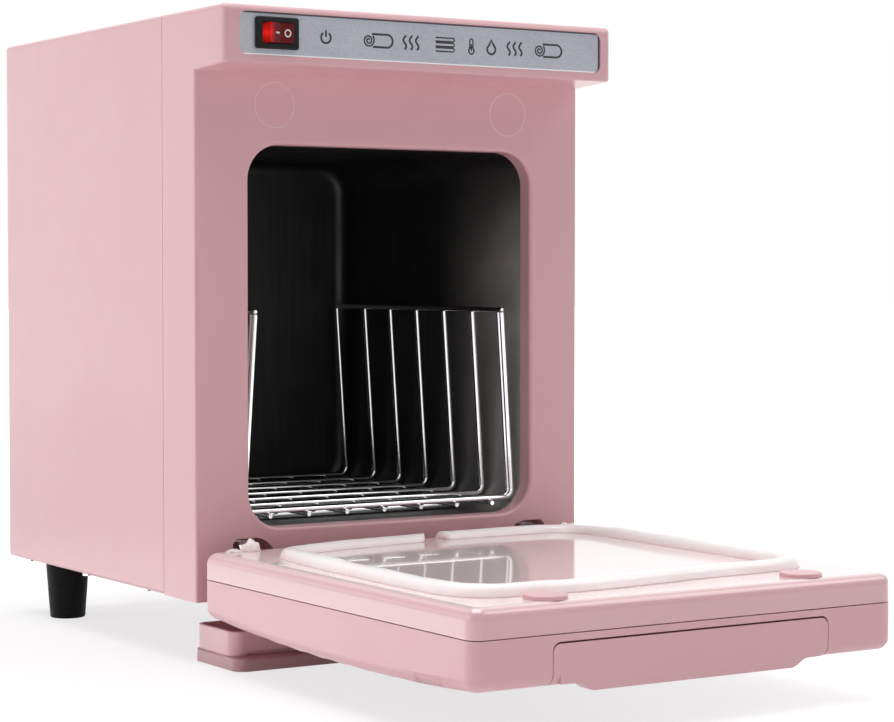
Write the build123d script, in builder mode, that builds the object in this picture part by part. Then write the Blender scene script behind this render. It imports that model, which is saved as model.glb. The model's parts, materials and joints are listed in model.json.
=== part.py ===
from build123d import *
import math
import os

# A small hot-towel cabinet: a steel-wrapped box with a moulded front frame, a heated
# liner, a wire rack, a drop-down door with a silicone seal, and a drip tray on a stand.
# Millimetres. X runs across, +Y runs from the front face to the back, +Z is up.
# The origin is on the floor, under the middle of the cabinet's front face.

os.makedirs("parts", exist_ok=True)

# --- cabinet -------------------------------------------------------------------
WIDTH = 245.0
HALF_W = WIDTH / 2
FLOOR_GAP = 34.0  # floor to the cabinet's underside
BODY_H = 312.5
BODY_D = 256.0  # front face to the outside of the back cover
TOP = FLOOR_GAP + BODY_H
FRAME_D = 38.6  # depth of the moulded front frame
FACE_T = 3.0  # its front walls
WALL = 2.5  # its other walls, and the door's
SHEET = 1.0  # painted steel sheet
WRAP_GAP = 0.4  # shadow gap between the front frame and the steel wrap
TOP_R = 2.5  # long top edges
FIT = 0.1  # assembly gap between neighbouring pieces
SCREW_R = 1.5
SMALL_SCREW_R = 1.25
SCREW_FIT = 0.05  # radial clearance of a screw in its hole

# --- hood and controls ---------------------------------------------------------
HOOD_OUT = 34.0
HOOD_Z = FLOOR_GAP + 282.2  # underside at the hood's front
HOOD_DRAFT = 2.0  # the underside drops this much towards the face
LABEL_W = 228.7
LABEL_H = 22.5
LABEL_X = 0.85
LABEL_Z = 331.8
LABEL_R = 4.5
LABEL_T = 0.6
LABEL_SINK = 1.5
LABEL_FACE = -HOOD_OUT + LABEL_SINK - LABEL_T
SWITCH_X = -91.5
SWITCH_Z = 332.3
BEZEL_W = 25.0
BEZEL_H = 16.6
BEZEL_T = 2.2
SWITCH_BODY_W = 19.4
SWITCH_BODY_H = 13.0
SWITCH_BODY_D = 17.0
ROCKER_W = 16.4
ROCKER_H = 10.4
ROCKER_TILT = 11.0  # the rocker rests pressed in on its right side

# --- opening, liner and heat ---------------------------------------------------
OPEN_W = 181.0
OPEN_H = 205.3
OPEN_Z = 173.95  # centre height
OPEN_R = 19.0
RIM_D = 10.0
LINER_GAP = 1.0  # the liner is this much wider than the opening, each side
LINER_T = 0.8
LINER_D = 205.0
LINER_W = OPEN_W + 2 * LINER_GAP
LINER_H = OPEN_H + 2 * LINER_GAP
LINER_R = OPEN_R + LINER_GAP
LINER_BACK = RIM_D + LINER_D + LINER_T
LINER_FLOOR = OPEN_Z - LINER_H / 2
FLANGE_HALF_W = 105.0
FLANGE_Z = (92.0, 286.0)
FLANGE_BOSS_X = 99.5
FLANGE_BOSS_ZS = (112.0, 186.0, 260.0)
INSULATION_T = 13.0
HEATER_DROP = 9.0  # height of the heater space under the liner
HEATER_R = 2.0
HEATER_Y = (45.0, 195.0)
HEATER_HALF_W = 61.0
HEATER_RUNS = 7
STUD_X = 69.0
STUD_YS = (50.0, 190.0)

# --- magnetic catch ------------------------------------------------------------
CATCH_X = 74.8
CATCH_Z = 297.8
CATCH_R = 12.2
CAP_T = 2.0
MAGNET_R = 8.0
MAGNET_T = 4.0
DOOR_CAP_R = 10.3

# --- hinge ---------------------------------------------------------------------
HINGE_Y = -11.5
HINGE_Z = 54.9
HINGE_X = 90.5
PIN_R = 1.5
RUN_FIT = 0.05
KNUCKLE_R = 3.0
KNUCKLE_L = 7.6
EAR_R = 4.0
EAR_T = 1.4
EAR_GAP = 8.2
POCKET_D = 12.0
POCKET_OUT = 100.5
POCKET_TOP = 66.5
POCKET_FLOOR = 49.0
POCKET_ARCH_X = 87.5
POCKET_ARCH_R = 13.0

# --- door, open and level ------------------------------------------------------
DOOR_HALF_W = 122.8
DOOR_NEAR = -11.3
DOOR_FAR = -268.5
DOOR_TOP = 62.0  # inner face
DOOR_PART = 48.0  # split between inner cover and outer shell
PART_GAP = 0.5  # shadow gap along that split
DOOR_BELLY = 21.2  # lowest point of the bowed outer face
DOOR_BELLY_R = 6.0  # edge round its bowed outer face
DOOR_TOP_R = 5.5  # edge round its inner face
DOOR_NEAR_Z = 27.4
DOOR_FAR_Z = 24.6
DOOR_CORNER_R = 7.0  # upright corners of the free edge
DOOR_NEAR_R = 3.0  # upright corners beside the hinges
DOOR_MID_Y = (DOOR_NEAR + DOOR_FAR) / 2
DOOR_L = DOOR_NEAR - DOOR_FAR
DOOR_LIP_W = 2 * (DOOR_HALF_W - WALL - 1.6)  # inside of the lip round the parting line
DOOR_LIP_L = DOOR_L - 2 * (WALL + 1.6)
DOOR_CAP_Y = -254.4
SEAL_W = 9.0
SEAL_H = 4.2
SEAL_SHOULDER = 1.8  # the bead's sides stand upright this far
SEAL_FOOT_W = 5.0
SEAL_FOOT_D = 1.4
# the seal's centreline: one length laid by hand round the door, its ends left a little
# apart on the hinge side
SEAL_PATH = [
    (15.5, -24.6),
    (40.0, -23.6),
    (66.0, -23.4),
    (90.0, -28.0),
    (103.0, -43.0),
    (104.5, -70.0),
    (102.5, -120.0),
    (101.3, -190.0),
    (97.0, -218.0),
    (80.0, -229.5),
    (40.0, -232.0),
    (-12.0, -238.0),
    (-40.0, -240.5),
    (-76.0, -239.0),
    (-97.0, -233.0),
    (-104.5, -216.0),
    (-105.3, -190.0),
    (-104.0, -120.0),
    (-101.3, -70.0),
    (-96.0, -48.5),
    (-86.0, -42.5),
    (-48.0, -34.0),
    (-20.0, -29.5),
    (2.5, -26.5),
]
CASE_BOSS_R = 3.6
DOOR_BOSS_DEPTH = 24.3  # parting plane down into the outer shell's floor
PAD_W = 150.0  # glass-wool pad in the door
PAD_L = 170.0
PAD_Y = -137.0
PAD_Z = (31.0, 57.0)
HANDLE_HALF_W = 80.0
HANDLE_TOP = 43.3
HANDLE_TOP_GAP = 0.9  # shadow gap above the insert
HANDLE_D = 12.0
LIP_HALF_W = 57.0
LIP_Z = 20.9
LIP_D = 7.0

# --- stand, tray, feet ---------------------------------------------------------
STAND_HALF_W = 112.5
STAND_FRONT = -28.2
STAND_BACK = 24.6
STAND_BASE_T = 7.0
STAND_R = 7.0
POST_X = 72.0
POST_Y = (24.6, 37.4)
POST_W = 26.0
TAIL_W = 190.0  # rear strip of the base, under the posts
TAIL_MID_Y = 28.0
TRAY_HALF_W = 111.5
TRAY_FRONT = -20.4
TRAY_BACK = 23.8
TRAY_TOP = 20.0
TRAY_WALL = 2.0
TRAY_FLOOR_T = 3.0
RAIL_X = 60.0
RAIL_W = 5.0
RAIL_H = 1.4
RAIL_L = 34.0
FOOT_X = 103.0
FOOT_Y = 213.0
FOOT_TOP_R = 13.0
FOOT_R = 10.5

# --- rack ----------------------------------------------------------------------
RACK_Z = 79.0  # centre of the hoops' bottom wire
RACK_TOP = 187.0
RACK_HALF_W = 87.0
RACK_TOP_HALF_W = 80.0
RACK_BEND_R = 4.5
RACK_FRONT = 13.5
RACK_BACK = 204.0
HOOP_R = 1.5
ROD_R = 1.2
WIRE_GAP = 0.02  # between wires that touch at a weld

# --- back and cord -------------------------------------------------------------
BACK_T = 1.0
BACK_FLANGE = 11.0
CORD_X = 78.0
CORD_Z = 66.0
CORD_R = 3.2
CORD_HOLE_R = 6.0
CORD_BACK = 272.0


def front_plane(y):
    """Upright plane at depth y, seen from the user's side: extrude(-d) goes back by d."""
    return Plane.XZ.offset(-y)


def plane_at(x, y, z, normal):
    """Plane at a point, facing along a row axis."""
    across = (0, 1, 0) if abs(normal[0]) > 0 else (1, 0, 0)
    return Plane(origin=(x, y, z), x_dir=across, z_dir=normal)


def seal_track(width):
    """Flat band of the given width along the seal's centreline."""
    with BuildLine() as track:
        Spline(*SEAL_PATH)
    trace(track.line, line_width=width)


def screw_set(sites, length, shank_r=SCREW_R, head_r=2.8, head_h=1.6):
    """Identical cross-head screws; each site's plane lies under the head and faces out of it."""
    with BuildPart() as screws:
        for site in sites:
            with BuildSketch(site):
                Circle(head_r)
            extrude(amount=head_h)
            with BuildSketch(site):
                Circle(shank_r)
            extrude(amount=-length)
            with BuildSketch(site.offset(head_h)):
                Rectangle(1.3 * head_r, 0.3 * head_r)
                Rectangle(0.3 * head_r, 1.3 * head_r)
            extrude(amount=-0.5 * head_h, mode=Mode.SUBTRACT)
    return screws


# =================================================================================
# Cabinet
# =================================================================================
LINER_SCREW_SITES = [
    plane_at(side * FLANGE_BOSS_X, RIM_D + LINER_T, z, (0, 1, 0))
    for side in (-1, 1)
    for z in FLANGE_BOSS_ZS
]

with BuildPart() as front_frame:
    with BuildSketch(Plane.YZ.offset(-HALF_W)):
        with BuildLine():
            Polyline(
                (FRAME_D, FLOOR_GAP),
                (0, FLOOR_GAP),
                (0, HOOD_Z - HOOD_DRAFT),
                (-HOOD_OUT, HOOD_Z),
                (-HOOD_OUT, TOP),
                (FRAME_D, TOP),
                close=True,
            )
        make_face()
    extrude(amount=WIDTH)
    fillet(edges().filter_by(Axis.Y).group_by(Axis.Z)[-1], TOP_R)
    fillet(edges().filter_by(Axis.Z).group_by(Axis.Y)[0], 3.5)
    fillet(edges().filter_by(Axis.X).group_by(Axis.Y)[0], 1.6)
    fillet(edges().filter_by(Axis.Z).filter_by_position(Axis.Y, -0.01, 0.01), 1.2)
    with BuildSketch(Plane.YZ.offset(-(HALF_W - WALL))):
        with BuildLine():
            Polyline(
                (FRAME_D, FLOOR_GAP + WALL),
                (FACE_T, FLOOR_GAP + WALL),
                (FACE_T, HOOD_Z - HOOD_DRAFT + WALL),
                (-HOOD_OUT + FACE_T, HOOD_Z + WALL),
                (-HOOD_OUT + FACE_T, TOP - WALL),
                (FRAME_D, TOP - WALL),
                close=True,
            )
        make_face()
    extrude(amount=WIDTH - 2 * WALL, mode=Mode.SUBTRACT)
    # tongue that the steel wrap slides over, on the sides and the top
    with BuildSketch(front_plane(FRAME_D - 6)):
        with Locations((0, (TOP - SHEET - FIT) / 2)):
            Rectangle(WIDTH - 2 * SHEET - 2 * FIT, TOP - SHEET - FIT)
        with Locations((0, (TOP - WALL - 1.0) / 2)):
            Rectangle(WIDTH - 2 * WALL - 2, TOP - WALL - 1.0, mode=Mode.SUBTRACT)
        with Locations((0, 20)):
            Rectangle(WIDTH, 60, mode=Mode.SUBTRACT)
        with Locations((-HALF_W, TOP), (HALF_W, TOP)):
            Rectangle(2 * TOP_R, 2 * TOP_R, rotation=45, mode=Mode.SUBTRACT)
    extrude(amount=-12)
    # rim round the opening, magnet bosses, liner bosses, stand bosses and hinge pockets
    with BuildSketch(front_plane(FACE_T)):
        with Locations((0, OPEN_Z)):
            RectangleRounded(OPEN_W + 2 * WALL, OPEN_H + 2 * WALL, OPEN_R + WALL)
        with Locations(*[(side * FLANGE_BOSS_X, z) for side in (-1, 1) for z in FLANGE_BOSS_ZS]):
            Circle(4.2)
    extrude(amount=-(RIM_D - FACE_T))
    with BuildSketch(front_plane(FACE_T)):
        with Locations((-CATCH_X, CATCH_Z), (CATCH_X, CATCH_Z)):
            Circle(MAGNET_R + 3)
    extrude(amount=-(CAP_T + MAGNET_T + 1.5 - FACE_T))
    with BuildSketch(front_plane(FACE_T)):
        for side in (-1, 1):
            with Locations((side * (HINGE_X - 2.5), 57.5)):
                Rectangle(29.0, 21.0)
    extrude(amount=-(POCKET_D - FACE_T + 2))
    with BuildSketch(Plane.XY.offset(FLOOR_GAP + WALL)):
        with Locations(*[(side * POST_X, sum(POST_Y) / 2) for side in (-1, 1)]):
            Circle(5)
    extrude(amount=9)
    # the opening, with its rolled lip
    with BuildSketch(front_plane(-1)):
        with Locations((0, OPEN_Z)):
            RectangleRounded(OPEN_W, OPEN_H, OPEN_R)
    extrude(amount=-(RIM_D + 2), mode=Mode.SUBTRACT)
    lip = edges().filter_by_position(Axis.Y, -0.01, 0.01)
    lip = lip.filter_by_position(Axis.X, -OPEN_W / 2 - 0.1, OPEN_W / 2 + 0.1)
    lip = lip.filter_by_position(Axis.Z, OPEN_Z - OPEN_H / 2 - 0.1, OPEN_Z + OPEN_H / 2 + 0.1)
    fillet(lip, 2.0)
    # hinge pockets: flat-topped, with a wide arch on the inner side
    for side in (-1, 1):
        with BuildSketch(front_plane(-1)):
            with BuildLine():
                arch_foot = (side * (POCKET_ARCH_X - POCKET_ARCH_R), POCKET_TOP - POCKET_ARCH_R)
                arch_top = (side * POCKET_ARCH_X, POCKET_TOP)
                arch_dip = POCKET_ARCH_R * math.sqrt(0.5)
                arch_mid = (side * (POCKET_ARCH_X - arch_dip), POCKET_TOP - POCKET_ARCH_R + arch_dip)
                Line((side * (POCKET_ARCH_X - POCKET_ARCH_R), POCKET_FLOOR), arch_foot)
                ThreePointArc(arch_foot, arch_mid, arch_top)
                Polyline(
                    arch_top,
                    (side * (POCKET_OUT - 2.5), POCKET_TOP),
                    (side * POCKET_OUT, POCKET_TOP - 2.5),
                    (side * POCKET_OUT, POCKET_FLOOR),
                    (side * (POCKET_ARCH_X - POCKET_ARCH_R), POCKET_FLOOR),
                )
            make_face()
        extrude(amount=-(POCKET_D + 1), mode=Mode.SUBTRACT)
    # recesses for the magnet covers, the magnets and the label, and the switch cut-out
    with BuildSketch(front_plane(0)):
        with Locations((-CATCH_X, CATCH_Z), (CATCH_X, CATCH_Z)):
            Circle(CATCH_R)
    extrude(amount=-CAP_T, mode=Mode.SUBTRACT)
    with BuildSketch(front_plane(0)):
        with Locations((-CATCH_X, CATCH_Z), (CATCH_X, CATCH_Z)):
            Circle(MAGNET_R + FIT)
    extrude(amount=-(CAP_T + MAGNET_T + FIT), mode=Mode.SUBTRACT)
    with BuildSketch(front_plane(-HOOD_OUT)):
        with Locations((LABEL_X, LABEL_Z)):
            RectangleRounded(LABEL_W, LABEL_H, LABEL_R)
    extrude(amount=-LABEL_SINK, mode=Mode.SUBTRACT)
    with BuildSketch(front_plane(-HOOD_OUT)):
        with Locations((SWITCH_X, SWITCH_Z)):
            Rectangle(SWITCH_BODY_W + 2 * FIT, SWITCH_BODY_H + 2 * FIT)
    extrude(amount=-FACE_T, mode=Mode.SUBTRACT)
    # screw holes: liner flange, hinge bracket, stand
    for site in LINER_SCREW_SITES:
        with BuildSketch(site):
            Circle(SCREW_R + SCREW_FIT)
        extrude(amount=-6.5, mode=Mode.SUBTRACT)
    for side in (-1, 1):
        with BuildSketch(front_plane(POCKET_D - 1)):
            with Locations((side * HINGE_X, HINGE_Z + 5)):
                Circle(SCREW_R + SCREW_FIT)
        extrude(amount=-4, mode=Mode.SUBTRACT)
    with BuildSketch(Plane.XY.offset(FLOOR_GAP - 1)):
        with Locations(*[(side * POST_X, sum(POST_Y) / 2) for side in (-1, 1)]):
            Circle(SCREW_R + SCREW_FIT)
    extrude(amount=11, mode=Mode.SUBTRACT)
front_frame.part.label = "front_frame"

WRAP_BACK = BODY_D - BACK_T
BACK_SCREW_SITES = [
    plane_at(side * (HALF_W - 6), BODY_D, z, (0, 1, 0)) for side in (-1, 1) for z in (60.0, 190.0, 320.0)
] + [plane_at(x, BODY_D, TOP - 6, (0, 1, 0)) for x in (-60.0, 60.0)]
PLATE_SCREW_SITES = [
    plane_at(side * (HALF_W - 4.4), y, FLOOR_GAP, (0, 0, -1))
    for side in (-1, 1)
    for y in (70.0, 150.0, 235.0)
]

# steel wrap: both sides and the top in one folded sheet
with BuildPart() as outer_shell:
    with BuildSketch(front_plane(FRAME_D + WRAP_GAP)) as wrap_outline:
        with Locations((0, FLOOR_GAP + BODY_H / 2)):
            Rectangle(WIDTH, BODY_H)
        fillet(wrap_outline.vertices().group_by(Axis.Z)[-1], TOP_R)
        with Locations((0, FLOOR_GAP + BODY_H / 2)):
            RectangleRounded(WIDTH - 2 * SHEET, BODY_H - 2 * SHEET, TOP_R - SHEET, mode=Mode.SUBTRACT)
        with Locations((0, FLOOR_GAP)):
            Rectangle(WIDTH - 16, 4, mode=Mode.SUBTRACT)
    extrude(amount=-(WRAP_BACK - FRAME_D - WRAP_GAP))
    with BuildSketch(front_plane(WRAP_BACK - SHEET)):
        with Locations((0, FLOOR_GAP + BODY_H / 2)):
            Rectangle(WIDTH - 2 * SHEET, BODY_H - 2 * SHEET)
        with Locations((0, FLOOR_GAP + (BODY_H - BACK_FLANGE) / 2)):
            Rectangle(WIDTH - 2 * BACK_FLANGE, BODY_H - BACK_FLANGE, mode=Mode.SUBTRACT)
        with Locations((0, FLOOR_GAP)):
            Rectangle(WIDTH, 12, mode=Mode.SUBTRACT)
    extrude(amount=-SHEET)
    for site in BACK_SCREW_SITES + PLATE_SCREW_SITES:
        with BuildSketch(site.offset(1)):
            Circle(SMALL_SCREW_R + SCREW_FIT)
        extrude(amount=-5, mode=Mode.SUBTRACT)
outer_shell.part.label = "outer_shell"

# back cover with two banks of cooling slots and the cord hole
with BuildPart() as back_cover:
    with BuildSketch(front_plane(WRAP_BACK)) as back_outline:
        with Locations((0, FLOOR_GAP + BODY_H / 2)):
            Rectangle(WIDTH, BODY_H)
        fillet(back_outline.vertices().group_by(Axis.Z)[-1], TOP_R)
        for bank_z in (92.0, 290.0):
            with Locations((0, bank_z)):
                with GridLocations(0, 7.0, 1, 5):
                    SlotOverall(90, 2.6, mode=Mode.SUBTRACT)
        with Locations((CORD_X, CORD_Z)):
            Circle(CORD_HOLE_R, mode=Mode.SUBTRACT)
    extrude(amount=-BACK_T)
    for site in BACK_SCREW_SITES:
        with BuildSketch(site):
            Circle(SMALL_SCREW_R + SCREW_FIT)
        extrude(amount=-BACK_T, mode=Mode.SUBTRACT)
back_cover.part.label = "back_cover"

back_cover_screws = screw_set(BACK_SCREW_SITES, 5.0, shank_r=SMALL_SCREW_R, head_r=2.6, head_h=1.4)
back_cover_screws.part.label = "back_cover_screws"

PLATE_Y = (FRAME_D + 0.4, WRAP_BACK - SHEET - FIT)
FOOT_SITES = [(side * FOOT_X, FOOT_Y) for side in (-1, 1)]

with BuildPart() as bottom_plate:
    with BuildSketch(Plane.XY.offset(FLOOR_GAP + SHEET)):
        with Locations((0, sum(PLATE_Y) / 2)):
            Rectangle(WIDTH - 2 * SHEET - 3.4, PLATE_Y[1] - PLATE_Y[0])
        with Locations((0, 150)):
            with GridLocations(0, 9.0, 1, 5):
                SlotOverall(70, 3.0, mode=Mode.SUBTRACT)
        with Locations(*FOOT_SITES):
            Circle(2.0 + SCREW_FIT, mode=Mode.SUBTRACT)
    extrude(amount=SHEET)
    for site in PLATE_SCREW_SITES:
        with BuildSketch(site):
            Circle(SMALL_SCREW_R + SCREW_FIT)
        extrude(amount=-3, mode=Mode.SUBTRACT)
bottom_plate.part.label = "bottom_plate"

bottom_plate_screws = screw_set(PLATE_SCREW_SITES, 4.5, shank_r=SMALL_SCREW_R, head_r=2.6, head_h=1.4)
bottom_plate_screws.part.label = "bottom_plate_screws"

# =================================================================================
# Liner, heater and insulation
# =================================================================================
STUD_SITES = [(side * STUD_X, y) for side in (-1, 1) for y in STUD_YS]
LINER_UNDER = LINER_FLOOR - LINER_T

with BuildPart() as inner_liner:
    with BuildSketch(front_plane(RIM_D)):
        with Locations((0, OPEN_Z)):
            RectangleRounded(LINER_W + 2 * LINER_T, LINER_H + 2 * LINER_T, LINER_R + LINER_T)
    extrude(amount=-(LINER_D + LINER_T))
    fillet(faces().sort_by(Axis.Y)[-1].edges(), 8.0)
    offset(amount=-LINER_T, openings=faces().sort_by(Axis.Y)[0])
    with BuildSketch(front_plane(RIM_D)):
        with Locations((0, sum(FLANGE_Z) / 2)):
            Rectangle(2 * FLANGE_HALF_W, FLANGE_Z[1] - FLANGE_Z[0])
        with Locations((0, OPEN_Z)):
            RectangleRounded(LINER_W + LINER_T, LINER_H + LINER_T, LINER_R, mode=Mode.SUBTRACT)
        with Locations(*[(side * FLANGE_BOSS_X, z) for side in (-1, 1) for z in FLANGE_BOSS_ZS]):
            Circle(SCREW_R + SCREW_FIT, mode=Mode.SUBTRACT)
    extrude(amount=-LINER_T)
    with BuildSketch(Plane.XY.offset(LINER_UNDER - HEATER_DROP)):
        with Locations(*STUD_SITES):
            Circle(1.5)
    extrude(amount=HEATER_DROP + 0.3)
inner_liner.part.label = "inner_liner"

liner_screws = screw_set(LINER_SCREW_SITES, 6.0)
liner_screws.part.label = "liner_screws"

# one long tube folded into seven runs across the underside of the liner
HEATER_Z = LINER_UNDER - FIT - HEATER_R
RUN_PITCH = (HEATER_Y[1] - HEATER_Y[0]) / (HEATER_RUNS - 1)
HEATER_POINTS = []
for run in range(HEATER_RUNS):
    run_y = HEATER_Y[0] + run * RUN_PITCH
    turn = 1 if run % 2 == 0 else -1
    HEATER_POINTS += [(-turn * HEATER_HALF_W, run_y), (turn * HEATER_HALF_W, run_y)]

with BuildPart() as heater_element:
    with BuildLine(Plane.XY.offset(HEATER_Z)) as heater_path:
        FilletPolyline(*HEATER_POINTS, radius=RUN_PITCH / 2 - 0.5)
    with BuildSketch(Plane(origin=heater_path.line @ 0, z_dir=heater_path.line % 0)):
        Circle(HEATER_R)
    sweep()
heater_element.part.label = "heater_element"

# shallow pan that holds the heater up against the liner
PAN_TOP = HEATER_Z - HEATER_R - FIT
PAN_T = 0.8
with BuildPart() as heater_pan:
    with BuildSketch(Plane.XY.offset(PAN_TOP - PAN_T)):
        with Locations((0, sum(HEATER_Y) / 2)):
            Rectangle(2 * STUD_X + 14, HEATER_Y[1] - HEATER_Y[0] + 14)
        with Locations(*STUD_SITES):
            Circle(1.5 + SCREW_FIT, mode=Mode.SUBTRACT)
    extrude(amount=PAN_T)
    with BuildSketch(Plane.XY.offset(PAN_TOP - FIT)):
        for end in (-1, 1):
            with Locations((0, sum(HEATER_Y) / 2 + end * (HEATER_Y[1] - HEATER_Y[0] + 13) / 2)):
                Rectangle(2 * STUD_X - 20, PAN_T)
    extrude(amount=LINER_UNDER - PAN_TOP)
heater_pan.part.label = "heater_pan"

with BuildPart() as heater_nuts:
    with BuildSketch(Plane.XY.offset(PAN_TOP - PAN_T - 2.4)):
        with Locations(*STUD_SITES):
            RegularPolygon(3.2, 6)
            Circle(1.5 + SCREW_FIT, mode=Mode.SUBTRACT)
    extrude(amount=2.4)
heater_nuts.part.label = "heater_nuts"

# glass-wool sleeve, deeper below where the heater hangs, and a slab behind the liner
SLEEVE_HALF_W = LINER_W / 2 + LINER_T + 0.4
SLEEVE_TOP = OPEN_Z + LINER_H / 2 + LINER_T + 0.4
SLEEVE_LOW = LINER_UNDER - HEATER_DROP - 0.5
SLEEVE_MID = (SLEEVE_TOP + SLEEVE_LOW) / 2
SLEEVE_H = SLEEVE_TOP - SLEEVE_LOW
with BuildPart() as insulation_sleeve:
    with BuildSketch(front_plane(POCKET_D + 2.5)):
        with Locations((0, SLEEVE_MID)):
            RectangleRounded(2 * (SLEEVE_HALF_W + INSULATION_T), SLEEVE_H + 2 * INSULATION_T, 16)
            RectangleRounded(2 * SLEEVE_HALF_W, SLEEVE_H, 8, mode=Mode.SUBTRACT)
    extrude(amount=-(LINER_BACK - POCKET_D - 2.5))
insulation_sleeve.part.label = "insulation_sleeve"

WINDOW = (44.0, 30.0)  # opening in the slab for the two heat guards
GUARD_Z = 120.0
with BuildPart() as insulation_slab:
    with BuildSketch(front_plane(LINER_BACK + 0.3)):
        with Locations((0, SLEEVE_MID)):
            RectangleRounded(2 * (SLEEVE_HALF_W + INSULATION_T), SLEEVE_H + 2 * INSULATION_T, 16)
        with Locations((0, GUARD_Z)):
            Rectangle(*WINDOW, mode=Mode.SUBTRACT)
    extrude(amount=-INSULATION_T)
insulation_slab.part.label = "insulation_slab"

with BuildPart() as thermostat:
    with BuildSketch(front_plane(LINER_BACK + FIT)):
        with Locations((-9, GUARD_Z)):
            SlotOverall(24, 12, rotation=90)
    extrude(amount=-0.8)
    with BuildSketch(front_plane(LINER_BACK + FIT)):
        with Locations((-9, GUARD_Z)):
            Circle(8)
    extrude(amount=-4.5)
    with BuildSketch(front_plane(LINER_BACK + 4)):
        with Locations((-9, GUARD_Z)):
            Circle(6.5)
    extrude(amount=-7)
    with BuildSketch(front_plane(LINER_BACK + 10)):
        with Locations((-13, GUARD_Z), (-5, GUARD_Z)):
            Rectangle(0.8, 4.5)
    extrude(amount=-8)
thermostat.part.label = "thermostat"

with BuildPart() as thermal_fuse:
    with BuildSketch(Plane.XY.offset(GUARD_Z - 6)):
        with Locations((11, LINER_BACK + 3.2)):
            Circle(2.2)
    extrude(amount=12)
    with BuildSketch(Plane.XY.offset(GUARD_Z - 11)):
        with Locations((11, LINER_BACK + 3.2)):
            Circle(0.6)
    extrude(amount=22)
thermal_fuse.part.label = "thermal_fuse"

# =================================================================================
# Rack
# =================================================================================
def bent_wire(plane, points, bend, wire_r):
    """Round wire or cable along a polyline with rounded bends."""
    with BuildPart() as wire:
        with BuildLine(plane) as route:
            FilletPolyline(*points, radius=bend)
        with BuildSketch(Plane(origin=route.line @ 0, z_dir=route.line % 0)):
            Circle(wire_r)
        sweep()
    return wire.part


HOOP_YS = [RACK_FRONT, RACK_FRONT + 2 * HOOP_R + WIRE_GAP]
HOOP_YS += [RACK_FRONT + 31 * step for step in range(1, 6)] + [RACK_BACK]
ROD_Z = RACK_Z - HOOP_R - ROD_R - WIRE_GAP
ROD_XS = (-72, -48, -24, 0, 24, 48, 72)
FOOT_WIRE_R = (ROD_Z - ROD_R - WIRE_GAP - LINER_FLOOR - 0.05) / 2
FOOT_WIRE_Z = LINER_FLOOR + 0.05 + FOOT_WIRE_R
LEG_TOP = RACK_TOP - HOOP_R - WIRE_GAP
# legs lean in towards the top
HOOP_POINTS = [
    (-RACK_TOP_HALF_W, LEG_TOP),
    (-RACK_HALF_W, RACK_Z),
    (RACK_HALF_W, RACK_Z),
    (RACK_TOP_HALF_W, LEG_TOP),
]
RACK_WIRES = [bent_wire(front_plane(y), HOOP_POINTS, RACK_BEND_R, HOOP_R) for y in HOOP_YS]

with BuildPart() as wire_rack:
    rod_start = RACK_FRONT - HOOP_R - 1.0
    with BuildSketch(front_plane(rod_start)):
        with Locations(*[(x, ROD_Z) for x in ROD_XS]):
            Circle(ROD_R)
    extrude(amount=-(RACK_BACK + HOOP_R + 1.0 - rod_start))
    # two cross wires it stands on
    with BuildSketch(Plane.YZ.offset(-ROD_XS[-1])):
        with Locations((48, FOOT_WIRE_Z), (170, FOOT_WIRE_Z)):
            Circle(FOOT_WIRE_R)
    extrude(amount=2 * ROD_XS[-1])
    # top rails
    with BuildSketch(front_plane(RACK_FRONT)):
        with Locations((-RACK_TOP_HALF_W, RACK_TOP), (RACK_TOP_HALF_W, RACK_TOP)):
            Circle(HOOP_R)
    extrude(amount=-(RACK_BACK - RACK_FRONT))
    rack_corners = [
        (x, y, RACK_TOP)
        for x in (-RACK_TOP_HALF_W, RACK_TOP_HALF_W)
        for y in (RACK_FRONT, RACK_BACK)
    ]
    with Locations(*rack_corners):
        Sphere(HOOP_R)
    for rack_wire in RACK_WIRES:
        add(rack_wire)
wire_rack.part.label = "wire_rack"

# =================================================================================
# Hood controls
# =================================================================================
with BuildPart() as control_label:
    with BuildSketch(front_plane(LABEL_FACE)):
        with Locations((LABEL_X, LABEL_Z)):
            RectangleRounded(LABEL_W - 0.4, LABEL_H - 0.4, LABEL_R - 0.2)
        with Locations((SWITCH_X, SWITCH_Z)):
            Rectangle(SWITCH_BODY_W + 0.4, SWITCH_BODY_H + 0.4, mode=Mode.SUBTRACT)
    extrude(amount=-LABEL_T)
control_label.part.label = "control_label"

# switch: a bezel and a body with a well, in which the rocker turns on its own pin
BEZEL_FACE = LABEL_FACE - BEZEL_T
ROCKER_Y = BEZEL_FACE + 4.2
with BuildPart() as switch_housing:
    with BuildSketch(front_plane(BEZEL_FACE)):
        with Locations((SWITCH_X, SWITCH_Z)):
            RectangleRounded(BEZEL_W, BEZEL_H, 1.4)
    extrude(amount=-BEZEL_T)
    fillet(faces().sort_by(Axis.Y)[0].edges(), 0.8)
    with BuildSketch(front_plane(LABEL_FACE)):
        with Locations((SWITCH_X, SWITCH_Z)):
            Rectangle(SWITCH_BODY_W, SWITCH_BODY_H)
    extrude(amount=-SWITCH_BODY_D)
    with BuildSketch(front_plane(BEZEL_FACE)):
        with Locations((SWITCH_X, SWITCH_Z)):
            Rectangle(ROCKER_W + 1.8, ROCKER_H + 0.8)
    extrude(amount=-13.0, mode=Mode.SUBTRACT)
    with BuildSketch(Plane.XY.offset(SWITCH_Z - ROCKER_H / 2 - 0.9)):
        with Locations((SWITCH_X, ROCKER_Y)):
            Circle(1.0)
    extrude(amount=ROCKER_H + 1.8)
switch_housing.part.label = "switch_housing"

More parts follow.
